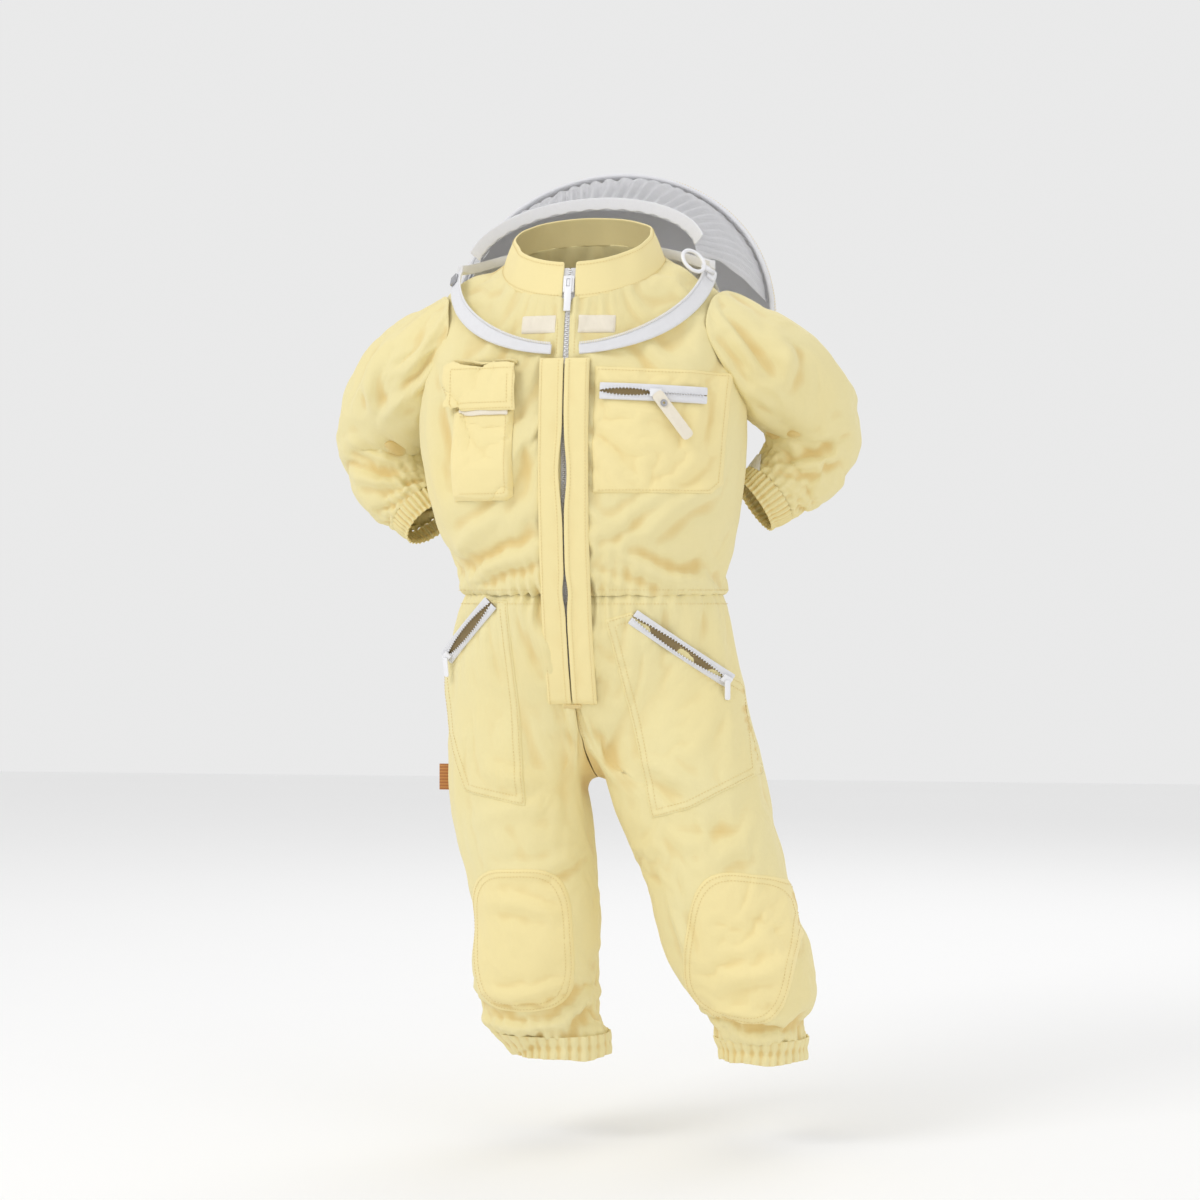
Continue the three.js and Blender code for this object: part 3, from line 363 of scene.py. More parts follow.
def mark_folds(piece, rounds=3, depth=0.0016):
    """Keeps how deep each place lies in a fold, for the painted shade in the cloth's colour."""
    points, edges, normals = points_of(piece), edges_of(piece), normals_of(piece)
    broad = points
    for _ in range(10):
        broad = broad + 0.6 * (neighbour_mean(broad, edges) - broad)
    value = ((broad - points) * normals).sum(1) / depth
    for _ in range(rounds):
        value = value + 0.5 * (neighbour_mean(value, edges) - value)
    layer = piece.data.attributes.new("fold", "FLOAT", "POINT")
    layer.data.foreach_set("value", np.clip(value, -1, 1).astype(np.float32))


def finish(piece, body, material, nodes=(), thick=0.0, levels=1, offset=-1.0):
    """Thickness, smoothness, material and place in the frame for a finished mesh."""
    piece.data.materials.clear()
    for polygon in piece.data.polygons:
        polygon.material_index = 0
    piece.data.materials.append(MATERIALS[material])
    if thick:
        wall = piece.modifiers.new("Thickness", "SOLIDIFY")
        wall.thickness = thick
        wall.offset = offset
    if levels:
        finer = piece.modifiers.new("Smooth", "SUBSURF")
        finer.levels = finer.render_levels = levels
    if isinstance(body, str):
        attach(piece, body)
    if nodes:
        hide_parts(*nodes)
    return piece


def panel_piece(skin, name, panel):
    """The part of a skin that is cut as one panel."""
    made = bmesh.new()
    made.from_mesh(skin.data)
    others = [face for face in made.faces if face.material_index != panel]
    bmesh.ops.delete(made, geom=others, context="FACES")
    return as_object(made, name, outwards=False)


# ---------------------------------------------------------------- materials
class Wire:
    """A node's output, whose arithmetic adds Math nodes."""

    def __init__(self, shader, socket):
        self.shader = shader
        self.socket = socket

    def maths(self, operation, *values):
        return self.shader.node("ShaderNodeMath", {"operation": operation}, dict(enumerate(values)))

    def __add__(self, other):
        return self.maths("ADD", self, other)

    def __radd__(self, other):
        return self.maths("ADD", other, self)

    def __sub__(self, other):
        return self.maths("SUBTRACT", self, other)

    def __rsub__(self, other):
        return self.maths("SUBTRACT", other, self)

    def __mul__(self, other):
        return self.maths("MULTIPLY", self, other)

    def __rmul__(self, other):
        return self.maths("MULTIPLY", other, self)

    def __truediv__(self, other):
        return self.maths("DIVIDE", self, other)

    def over(self, limit):
        return self.maths("GREATER_THAN", self, limit)

    def wave(self):
        return self.maths("SINE", self)

    def size(self):
        return self.maths("ABSOLUTE", self)

    def part(self):
        return self.maths("FRACT", self)

    def larger(self, other):
        return self.maths("MAXIMUM", self, other)

    def clamped(self):
        return self.shader.node("ShaderNodeClamp", {}, {0: self})


class Shader:
    """One material's nodes, built around a Principled shader."""

    def __init__(self, name, rough, metallic=0.0, sheen=0.0, coat=0.0):
        self.material = bpy.data.materials.new(name)
        self.material.use_nodes = True
        self.tree = self.material.node_tree
        self.main = self.tree.nodes["Principled BSDF"]
        self.main.inputs["Roughness"].default_value = rough
        self.main.inputs["Metallic"].default_value = metallic
        self.main.inputs["Sheen Weight"].default_value = sheen
        self.main.inputs["Coat Weight"].default_value = coat

    def node(self, kind, settings=None, inputs=None, output=0):
        made = self.tree.nodes.new(kind)
        for key, value in (settings or {}).items():
            setattr(made, key, value)
        for key, value in (inputs or {}).items():
            self.feed(made.inputs[key], value)
        return Wire(self, made.outputs[output])

    def feed(self, socket, value):
        if isinstance(value, Wire):
            self.tree.links.new(value.socket, socket)
        elif isinstance(value, (tuple, list)) and len(value) == 3 and socket.type == "RGBA":
            socket.default_value = (*value, 1)
        else:
            socket.default_value = value

    def own(self, **inputs):
        for key, value in inputs.items():
            self.feed(self.main.inputs[key.replace("_", " ")], value)
        return self.material

    def cloth_axes(self):
        """The two directions of the cloth, in metres."""
        spot = self.node("ShaderNodeUVMap", {"uv_map": "cloth"})
        split = self.node("ShaderNodeSeparateXYZ", {}, {0: spot})
        return split, Wire(self, split.socket.node.outputs[1])

    def object_noise(self, scale, detail=3.0, rough=0.5):
        spot = self.node("ShaderNodeTexCoord", output=3)
        return self.node(
            "ShaderNodeTexNoise",
            {"noise_dimensions": "3D"},
            {"Vector": spot, "Scale": scale, "Detail": detail, "Roughness": rough},
        )

    def mix(self, factor, first, second):
        return self.node(
            "ShaderNodeMix",
            {"data_type": "RGBA"},
            {0: factor, 6: first, 7: second},
            output=2,
        )

    def bump(self, height, strength, distance):
        return self.node(
            "ShaderNodeBump",
            {},
            {"Height": height, "Strength": strength, "Distance": distance},
        )


def woven(shader, pitch):
    """Height of a plain weave with the given thread pitch."""
    u, v = shader.cloth_axes()
    turn = 2 * math.pi / pitch
    warp = (u * turn).wave()
    weft = (v * turn).wave()
    return (warp * weft) * 0.5 + 0.5


def cotton_material(name, base, green, shade):
    """Matt plain-woven cotton, a little uneven, with warm painted shade down in its folds."""
    shader = Shader(name, rough=0.86, sheen=0.12)
    broad = shader.object_noise(9.0, 2.0)
    fine = shader.object_noise(320.0, 4.0, 0.65)
    weave = woven(shader, 0.0009)
    tone = shader.mix((broad * 1.5 - 0.3).clamped(), base, green)
    slub = shader.mix((fine * 0.16 + weave * 0.05).clamped(), tone, tuple(0.82 * c for c in base))
    # painted shade: the depth in a fold mixes a warm shade colour into the cloth
    fold = shader.node("ShaderNodeAttribute", {"attribute_name": "fold"}, output=2)
    colour = shader.mix((fold * 0.6).clamped(), slub, shade)
    height = weave * 0.5 + fine * 0.8
    return shader.own(
        Base_Color=colour,
        Roughness=0.8 + fine * 0.12,
        Normal=shader.bump(height, 0.35, 0.0005),
    )


def tape_material(name, base, dark, pitch=0.0012, rough=0.8):
    """Narrow woven tape with a slanting rib."""
    shader = Shader(name, rough=rough, sheen=0.1)
    u, v = shader.cloth_axes()
    rib = ((u + v.size()) * (2 * math.pi / pitch)).wave() * 0.5 + 0.5
    fine = shader.object_noise(260.0, 3.0, 0.6)
    colour = shader.mix((rib * 0.35 + fine * 0.3).clamped(), base, dark)
    return shader.own(
        Base_Color=colour,
        Roughness=rough - 0.05 + fine * 0.1,
        Normal=shader.bump(rib + fine * 0.5, 0.4, 0.0004),
    )


def hook_material(name, base, dark):
    """The hook side of a hook-and-loop tape: rows of small nubs."""
    shader = Shader(name, rough=0.75)
    u, v = shader.cloth_axes()
    nub = (u * (2 * math.pi / 0.0016)).wave() * (v * (2 * math.pi / 0.0016)).wave()
    fine = shader.object_noise(300.0, 3.0, 0.6)
    colour = shader.mix((nub * 0.3 + fine * 0.35).clamped(), base, dark)
    return shader.own(Base_Color=colour, Roughness=0.7 + fine * 0.15, Normal=shader.bump(nub, 0.5, 0.0005))


def net_material(name, base, dark, pitch):
    """Knitted net: two crossing families of threads with open eyes between them."""
    shader = Shader(name, rough=0.6)
    u, v = shader.cloth_axes()
    first = (((u + v) / pitch).part() * 2 - 1).size()
    second = (((u - v) / pitch).part() * 2 - 1).size()
    thread = first.larger(second)
    fine = shader.object_noise(200.0, 2.0, 0.5)
    colour = shader.mix((fine * 0.6).clamped(), base, dark)
    return shader.own(
        Base_Color=colour,
        Roughness=0.55 + fine * 0.1,
        Alpha=thread.over(0.64),
        Normal=shader.bump(thread, 0.5, 0.0006),
    )


def plastic_material(name, base, dark, rough=0.35, coat=0.15):
    """Moulded nylon with a faint flow texture and patchy scuffs."""
    shader = Shader(name, rough=rough, coat=coat)
    fine = shader.object_noise(140.0, 4.0, 0.6)
    scuff = shader.object_noise(45.0, 2.0, 0.5)
    colour = shader.mix((scuff * 0.5 - 0.1).clamped(), base, dark)
    uneven = rough - 0.08 + fine * 0.2
    return shader.own(Base_Color=colour, Roughness=uneven, Normal=shader.bump(fine, 0.15, 0.0003))


def steel_material(name, base, dark):
    """Nickel plate with fine brushing."""
    shader = Shader(name, rough=0.3, metallic=1.0)
    fine = shader.object_noise(420.0, 3.0, 0.6)
    colour = shader.mix((fine * 0.6).clamped(), base, dark)
    return shader.own(Base_Color=colour, Roughness=0.22 + fine * 0.2, Normal=shader.bump(fine, 0.1, 0.0002))


def label_material(name, base, light):
    """A small woven label: rust stripes of two tones across a satin ground."""
    shader = Shader(name, rough=0.6)
    _, v = shader.cloth_axes()
    stripe = (v * (2 * math.pi / 0.0032)).wave().over(0.1)
    fine = shader.object_noise(500.0, 2.0, 0.5)
    colour = shader.mix((stripe * 0.55 + fine * 0.2).clamped(), base, light)
    return shader.own(Base_Color=colour, Roughness=0.55 + fine * 0.1, Normal=shader.bump(fine, 0.3, 0.0003))


def floor_material(name):
    shader = Shader(name, rough=0.9)
    fine = shader.object_noise(3.0, 3.0, 0.5)
    colour = shader.mix((fine * 0.3).clamped(), (0.93, 0.93, 0.93), (0.9, 0.9, 0.905))
    return shader.own(Base_Color=colour, Roughness=0.85 + fine * 0.1)


MATERIALS = {}


def make_materials(colours):
    shade = tuple(colours.fold_shade)
    MATERIALS["cotton"] = cotton_material(
        "pale_cotton", tuple(colours.cotton), tuple(colours.cotton_cool), shade
    )
    MATERIALS["warm"] = cotton_material(
        "doubled_cotton", tuple(colours.warm_cotton), tuple(colours.cotton), shade
    )
    MATERIALS["white"] = tape_material("white_tape", tuple(colours.white), (0.66, 0.66, 0.69))
    MATERIALS["cream"] = hook_material("hook_tape", tuple(colours.cream), (0.78, 0.7, 0.56))
    MATERIALS["net"] = net_material("bee_net", (0.9, 0.9, 0.92), (0.72, 0.72, 0.75), colours.net_pitch)
    MATERIALS["plastic"] = plastic_material("white_nylon", (0.86, 0.86, 0.88), (0.74, 0.74, 0.77))
    MATERIALS["steel"] = steel_material("nickel", (0.48, 0.48, 0.5), (0.3, 0.3, 0.31))
    MATERIALS["label"] = label_material("woven_label", (0.36, 0.12, 0.03), (0.62, 0.3, 0.08))
    MATERIALS["thread"] = tape_material("sewing_thread", tuple(colours.thread), (0.72, 0.56, 0.25), 0.0006)
    # painted shade: a dark brown strip laid in the pocket zips' openings, where the inside is in shade
    MATERIALS["lining"] = tape_material("pocket_lining", (0.3, 0.22, 0.1), (0.18, 0.12, 0.05))
    MATERIALS["veil_white"] = tape_material("crown_cloth", tuple(colours.white), (0.76, 0.76, 0.79), 0.0009)
    MATERIALS["floor"] = floor_material("studio_floor")


# ---------------------------------------------------------------- the suit's body
COLUMNS = 168
SLIT = 0.0227  # half angle of the gap between the front edges, seen from the middle


def column_angle(share, slit=SLIT):
    """Turn of a column from the centre front towards the wearer's left, closer together in front."""
    turn = 2 * math.pi * share - 0.5 * math.sin(2 * math.pi * share)
    return slit + turn * (1 - slit / math.pi)


def outward(angle):
    return np.array([math.sin(angle), -math.cos(angle), 0.0])


def collar_place(angle, rise, inset=0.0):
    depth = COLLAR_FRONT if math.cos(angle) > 0 else COLLAR_BACK
    y = -(depth - 0.8 * inset) * math.cos(angle)
    return np.array([(COLLAR_HALF - inset) * math.sin(angle), y, COLLAR_RISE + COLLAR_TILT * y + rise])


SIDE_COLUMN = next(k for k in range(COLUMNS) if column_angle(k / COLUMNS) > math.radians(92))


def bodice_panel(_, column):
    if column < SIDE_COLUMN:
        return 1
    return 0 if column >= COLUMNS - SIDE_COLUMN else 2


def bodice_skin():
    """The bodice as one sheet around the frame's panels, open down the front and at the armholes."""
    tree = cad_tree("front_panel_right", "front_panel_left", "back_panel")
    level_rows, yoke_rows, shoulder = 60, 16, -0.075
    radii, directions, centres = [], [], []
    for row in range(level_rows + yoke_rows):
        climb = max(0, row - level_rows + 1) / yoke_rows
        z = WAIST + (shoulder - WAIST) * min(row, level_rows - 1) / (level_rows - 1)
        centre = np.array([0, 0, z])
        line = [outward(column_angle(k / COLUMNS)) for k in range(COLUMNS + 1)]
        if climb:
            targets = [collar_place(column_angle(k / COLUMNS), 0) for k in range(COLUMNS + 1)]
            line = [unit((1 - climb) * a + climb * unit(b - centre)) for a, b in zip(line, targets)]
        centres.append(centre)
        directions.append(line)
        radii.append([cast(tree, centre + [0, 0, 1e-4], d, 0.4) for d in line])
    radii, blank = fill_open(np.array(radii))
    directions, centres = np.array(directions), np.array(centres)
    places = centres[:, None, :] + directions * radii[:, :, None]
    places[-1] = [collar_place(column_angle(k / COLUMNS), 0.001, 0.001) for k in range(COLUMNS + 1)]
    made = cloth_grid(places, (0.92, 0.4), bodice_panel)
    open_at = np.abs(places[:, :, 0]) > 0.06
    gone = blank & open_at
    holes = set(map(tuple, places[gone].round(6)))
    faces = [f for f in made.faces if all(tuple(np.array(v.co).round(6)) in holes for v in f.verts)]
    bmesh.ops.delete(made, geom=faces, context="FACES")
    return as_object(made, "bodice_skin")


def leg_middle(tree, guess, z):
    """Middle of a leg's section at a level, from casts on the leg's own cloth."""
    middle = np.array([guess, 0.004, z])
    for axis in (0, 1, 0, 1):
        step = np.zeros(3)
        step[axis] = 1.0
        far, near = cast(tree, middle, step, 0.2), cast(tree, middle, -step, 0.2)
        if not math.isnan(far) and not math.isnan(near):
            middle[axis] += (far - near) / 2
    return middle


FORK_SHIFT = 0.010  # the fork stands a little to the wearer's left of the zip
FORK_DROP = 0.012


def trouser_skin():
    """Hips and both legs as one sheet around the frame's trousers."""
    nodes = ("trouser_leg_right", "trouser_leg_left")
    both = cad_tree(*nodes)
    fork = -0.496
    rows = 32
    radii, places = [], []
    centres, lines = [], []
    for row in range(rows + 1):
        z = WAIST + (fork - WAIST) * row / rows
        slit = SLIT if z > ZIP_FOOT else 0.0
        centre = np.array([FORK_SHIFT * float(smooth(ZIP_FOOT, fork, z)), 0.010, z])
        line = [outward(column_angle(k / COLUMNS, slit)) for k in range(COLUMNS + 1)]
        radii.append([cast(both, centre + [0, 0, -3e-4], d, 0.4) for d in line])
        centres.append(centre)
        lines.append(line)
    radii, _ = fill_open(np.array(radii))
    places = np.array(centres)[:, None, :] + np.array(lines) * radii[:, :, None]
    half = COLUMNS // 2
    ring = places[-1]
    parts = [cloth_grid(places[::-1].copy(), (0.98, 0.16), lambda _, k: 1 if k < half else 0)]
    inner, leg_rows = 28, 58
    front, back = ring[0], ring[half]
    for side, node in enumerate(nodes):
        tree = cad_tree(node)
        outer = ring[: half + 1] if side else ring[: half - 1 : -1]
        saddle = [
            back + (front - back) * k / inner - np.array([0, 0, FORK_DROP * math.sin(math.pi * k / inner)])
            for k in range(1, inner + 1)
        ]
        top = np.vstack([outer, saddle])
        guess = 0.107 if side else -0.070
        first = leg_middle(tree, guess, fork - 0.03)
        start = np.unwrap(np.arctan2(top[:, 0] - first[0], -(top[:, 1] - first[1])))
        even = start[0] + (start[-1] - start[0]) * np.linspace(0, 1, len(top))
        middle = first
        radii, lines, centres = [], [], []
        for row in range(1, leg_rows + 1):
            share = row / leg_rows
            z = fork - 0.03 + (HEM_TOP - fork + 0.03) * share
            middle = leg_middle(tree, middle[0], z) if share > 0.02 else first
            spread = float(smooth(0, 0.22, share))
            angles = start * (1 - spread) + even * spread
            levels = top[:, 2] + (HEM_TOP + 0.0005 - top[:, 2]) * share
            line = np.array([outward(a) for a in angles])
            centre = np.stack([np.full(len(top), middle[0]), np.full(len(top), middle[1]), levels], 1)
            radii.append([cast(tree, c, d, 0.16) for c, d in zip(centre, line)])
            lines.append(line)
            centres.append(centre)
        radii, _ = fill_open(np.array(radii), around=False)
        below = np.array(centres) + np.array(lines) * radii[:, :, None]
        whole = np.concatenate([top[None], below])
        whole[:, -1] = whole[:, 0]
        parts.append(cloth_grid(whole[::-1].copy(), (0.47, 0.3), lambda *_, panel=side: panel))
    return as_object(joined(parts), "trouser_skin", weld=2e-5)


# ---------------------------------------------------------------- sleeves
ARM_RIGHT = [
    (-120, 4, -76), (-165, 12, -88), (-207, 48, -114), (-236, 84, -163),
    (-214, 74, -216), (-187, 60, -246), (-169, 52, -266),
]
ARM_LEFT = [
    (120, 4, -76), (165, 12, -88), (209, 48, -110), (233, 84, -157),
    (213, 76, -204), (184, 60, -232), (163, 52, -248),
]


class Arm:
    """Rings around an arm's path, which casts on the frame turn into cloth."""

    def __init__(self, side):
        self.side = side
        self.path = np.array(ARM_RIGHT if side == "right" else ARM_LEFT) * MM

    def frame_at(self, t):
        middle = curve_at(self.path, t)
        along = unit(curve_at(self.path, min(t + 0.01, 1)) - curve_at(self.path, max(t - 0.01, 0)))
        across = unit(np.cross((0, 1, 0), along))
        return middle, along, across, np.cross(along, across)

    def ray(self, t, angle):
        middle, _, across, deep = self.frame_at(t)
        return middle, math.cos(angle) * across + math.sin(angle) * deep

    def span(self, tree, angle, reach=0.075):
        """First and last share of the path at which the cloth is met."""
        met = [i / 150 for i in range(151) if not math.isnan(cast(tree, *self.ray(i / 150, angle), reach))]
        return (met[0], met[-1]) if met else (math.nan, math.nan)

    def skin(self, node, columns, rows, size, lead=0.0, reach=0.075):
        tree = cad_tree(node)
        angles = [2 * math.pi * k / columns for k in range(columns)]
        spans = np.array([self.span(tree, a, reach) for a in angles])
        starts = np.where(np.isnan(spans[:, 0]), np.nanmean(spans[:, 0]), spans[:, 0])
        for _ in range(12):
            starts = (np.roll(starts, 1) + 2 * starts + np.roll(starts, -1)) / 4
        end = float(np.nanmedian(spans[:, 1]))
        radii, middles, lines = [], [], []
        for row in range(rows + 1):
            shares = starts - lead + (end - starts + lead) * row / rows
            rays = [self.ray(t, a) for t, a in zip(shares, angles)]
            radii.append([cast(tree, middle, line, reach) for middle, line in rays])
            middles.append([middle for middle, _ in rays])
            lines.append([line for _, line in rays])
        radii, _ = fill_open(np.array(radii))
        places = np.array(middles) + np.array(lines) * radii[:, :, None]
        places = np.concatenate([places, places[:, :1]], axis=1)
        return cloth_grid(places, size), end


# ---------------------------------------------------------------- things laid on the skins
def laid_patch(name, outline, lift, tree, pitch=2.4, edge=2.2, base=0.3, puff=0.0):
    """A flat piece cut to a convex outline of x, z in mm and laid on a skin, its rim eased down."""
    corners = np.array(outline, float) * MM
    low, high = corners.min(0), corners.max(0)
    size = high - low
    made = bmesh.new()
    bmesh.ops.create_grid(
        made,
        x_segments=max(2, round(size[0] / MM / pitch)),
        y_segments=max(2, round(size[1] / MM / pitch)),
        size=0.5,
    )
    middle = (low + high) / 2
    for vert in made.verts:
        vert.co = (middle[0] + vert.co.x * size[0], 0, middle[1] + vert.co.y * size[1])
    centre = corners.mean(0)
    for a, b in zip(corners, np.roll(corners, -1, axis=0)):
        out = np.array([b[1] - a[1], a[0] - b[0]])
        out = out if out @ (a - centre) > 0 else -out
        geometry = made.verts[:] + made.edges[:] + made.faces[:]
        bmesh.ops.bisect_plane(
            made,
            geom=geometry,
            dist=1e-6,
            plane_co=(a[0], 0, a[1]),
            plane_no=(out[0], 0, out[1]),
            clear_outer=True,
        )
    bmesh.ops.remove_doubles(made, verts=made.verts, dist=2e-4)
    sides = []
    for a, b in zip(corners, np.roll(corners, -1, axis=0)):
        side = unit(np.array([b[1] - a[1], a[0] - b[0]]))
        sides.append((a, side))
    rim = {v: min(abs((np.array([v.co.x, v.co.z]) - a) @ side) for a, side in sides) for v in made.verts}
    return lay(made, name, rim, lift, tree, edge, base, puff)


def lay(made, name, rim, lift, tree, edge=2.2, base=0.3, puff=0.0):
    """Drops a flat mesh on a skin from the front, lifted by an amount that eases at its rim."""
    layer = made.loops.layers.uv.get("cloth") or made.loops.layers.uv.new("cloth")
    for face in made.faces:
        for loop in face.loops:
            loop[layer].uv = (loop.vert.co.x, loop.vert.co.z)
    widest = max(rim.values())
    for vert in made.verts:
        hit, normal, _, _ = tree.ray_cast(Vector((vert.co.x, -0.5, vert.co.z)), Vector((0, 1, 0)))
        if hit is None:
            hit, normal, _, _ = tree.find_nearest(Vector((vert.co.x, -0.01, vert.co.z)))
        rise = base + (lift - base) * float(smooth(0, edge * MM, rim[vert]))
        rise += puff * math.sin(0.5 * math.pi * min(rim[vert] / widest, 1))
        vert.co = hit + normal * rise * MM
    piece = as_object(made, name, outwards=False)
    towards_front(piece)
    return piece


def towards_front(piece, direction=(0, -1, 0)):
    """Turns a sheet's faces to the given side."""
    mesh = piece.data
    total = sum((polygon.normal * polygon.area for polygon in mesh.polygons), Vector())
    if total.dot(Vector(direction)) < 0:
        mesh.flip_normals()


def oval_patch(name, centre, half, corner, lift, tree, turn=0.0, edge=2.2):
    """A rounded patch: a square grid drawn in to a superellipse."""
    made = bmesh.new()
    bmesh.ops.create_grid(made, x_segments=44, y_segments=58, size=1.0)
    rim = {}
    power = 2 + 2.2 * (1 - corner)
    for vert in made.verts:
        x, z = vert.co.x, vert.co.y
        square = max(abs(x), abs(z))
        if square:
            length = (abs(x) ** power + abs(z) ** power) ** (1 / power)
            x, z = x * square / length, z * square / length
        wide, tall = x * half[0] * MM, z * half[1] * MM
        c, s = math.cos(turn), math.sin(turn)
        vert.co = (centre[0] * MM + c * wide - s * tall, 0, centre[1] * MM + s * wide + c * tall)
        rim[vert] = (1 - square) * half[0] * MM
    return lay(made, name, rim, lift, tree, edge)


def on_surface(tree, x, z, lift=0.0, facing=-1):
    """A place on a skin seen from the front or the back, and the normal there."""
    start = Vector((x, facing * 0.5, z))
    hit, normal, _, _ = tree.ray_cast(start, Vector((0, -facing, 0)))
    if hit is None:
        hit, normal, _, _ = tree.find_nearest(Vector((x, facing * 0.01, z)))
    return hit + normal * lift, normal


STITCH_PITCH = 0.0034


def stitch_line(places, normals, width=0.0007):
    """A row of small thread beads along a line."""
    made = bmesh.new()
    places = np.array([list(p) for p in places])
    steps = np.linalg.norm(np.diff(places, axis=0), axis=1)
    total = np.concatenate([[0], np.cumsum(steps)])
    for i in range(int(total[-1] / STITCH_PITCH)):
        where = (i + 0.5) * STITCH_PITCH
        k = min(int(np.searchsorted(total, where)) - 1, len(places) - 2)
        k = max(k, 0)
        share = (where - total[k]) / max(steps[k], 1e-9)
        spot = Vector(places[k] + (places[k + 1] - places[k]) * share)
        along = Vector(places[k + 1] - places[k]).normalized()
        up = Vector(normals[k]).normalized()
        across = up.cross(along).normalized()
        turn = Matrix((along, across, up)).transposed().to_4x4()
        size = Matrix.Diagonal((0.00115, width * 0.55, width * 0.5, 1))
        matrix = Matrix.Translation(spot) @ turn @ size
        bmesh.ops.create_icosphere(made, subdivisions=1, radius=1.0, matrix=matrix)
    return made


def stitched(name, lines, body, nodes=()):
    piece = as_object(joined([stitch_line(places, normals) for places, normals in lines]), name)
    return finish(piece, body, "thread", nodes, levels=0)


def flat_line(tree, corners, lift=0.00035, step=0.006, facing=-1):
    """A line across a skin through corners given as x, z in mm."""
    places, normals = [], []
    for (x0, z0), (x1, z1) in zip(corners, corners[1:]):
        length = math.hypot(x1 - x0, z1 - z0) * MM
        count = max(2, round(length / step))
        for i in range(count):
            x, z = x0 + (x1 - x0) * i / count, z0 + (z1 - z0) * i / count
            place, normal = on_surface(tree, x * MM, z * MM, lift, facing)
            places.append(place)
            normals.append(normal)
    place, normal = on_surface(tree, corners[-1][0] * MM, corners[-1][1] * MM, lift, facing)
    places.append(place)
    normals.append(normal)
    return places, normals


def inset_outline(outline, step):
    """A convex outline drawn in by a step, closed."""
    corners = np.array(outline, float)
    centre = corners.mean(0)
    lines = []
    for a, b in zip(corners, np.roll(corners, -1, axis=0)):
        out = unit(np.array([b[1] - a[1], a[0] - b[0]]))
        out = out if out @ (a - centre) > 0 else -out
        lines.append((a - out * step, unit(b - a)))
    made = []
    for (a, d), (b, e) in zip(lines[-1:] + lines[:-1], lines):
        cross = d[0] * e[1] - d[1] * e[0]
        t = ((b - a)[0] * e[1] - (b - a)[1] * e[0]) / cross
        made.append(tuple(a + d * t))
    return made + made[:1]


# ---------------------------------------------------------------- pieces
class SuitLooks(bpy.types.PropertyGroup):
    """Colours and cloth settings of the suit."""

    cotton: bpy.props.FloatVectorProperty(
        name="Cotton", description="Main cloth", subtype="COLOR", size=3, default=(0.86, 0.74, 0.37)
    )
    cotton_cool: bpy.props.FloatVectorProperty(
        name="Cotton, paler", description="Uneven patches of the main cloth", subtype="COLOR", size=3,
        default=(0.84, 0.76, 0.43),
    )
    warm_cotton: bpy.props.FloatVectorProperty(
        name="Doubled cotton", description="Pockets, patches and collar", subtype="COLOR", size=3,
        default=(0.93, 0.79, 0.4),
    )
    # colour of the painted shade mixed into the cotton down in its folds
    fold_shade: bpy.props.FloatVectorProperty(
        name="Fold shade", description="Tone down in the folds", subtype="COLOR", size=3,
        default=(0.7, 0.47, 0.14),
    )
    white: bpy.props.FloatVectorProperty(
        name="White tape", description="Zips' tapes and the hood", subtype="COLOR", size=3,
        default=(0.84, 0.84, 0.86),
    )
    cream: bpy.props.FloatVectorProperty(
        name="Hook tape", description="Hook strips", subtype="COLOR", size=3, default=(0.93, 0.86, 0.72)
    )
    thread: bpy.props.FloatVectorProperty(
        name="Thread", description="Topstitching", subtype="COLOR", size=3, default=(0.8, 0.64, 0.3)
    )
    net_pitch: bpy.props.FloatProperty(
        name="Net pitch", description="Spacing of the net's threads", unit="LENGTH", default=0.0034
    )
    cloth_thickness: bpy.props.FloatProperty(
        name="Cloth thickness", description="Thickness of the cotton", unit="LENGTH", default=0.0009
    )
    crease: bpy.props.FloatProperty(
        name="Crease", description="Share of spare cloth that buckles into creases", default=0.035
    )


def looks():
    return bpy.context.scene.suit_looks


def gather(piece, origin, axis, count, height, fade, seed, pinch=0.0):
    """Small pleats that run out of a gathered edge along an axis, and the groove of its seam."""
    points, normals = points_of(piece), normals_of(piece)
    axis = unit(np.array(axis, float))
    side = unit(np.cross(axis, (0.31, 1, 0.17)))
    other = np.cross(axis, side)
    away = points - np.array(origin, float)
    along = away @ axis
    angle = np.arctan2(away @ other, away @ side)
    near = np.nonzero(np.abs(along) < 4 * fade)[0]
    push = np.zeros(len(points))
    for i in near:
        bend = 3.0 * wander(points[i], 0.035, seed)
        strong = 0.55 + 0.9 * abs(wander(points[i], 0.05, seed + 3))
        push[i] = height * math.cos(count * angle[i] + bend) * strong * math.exp(-abs(along[i]) / fade)
        push[i] -= pinch * math.exp(-((along[i] / 0.004) ** 2))
    set_points(piece, points + normals * push[:, None])


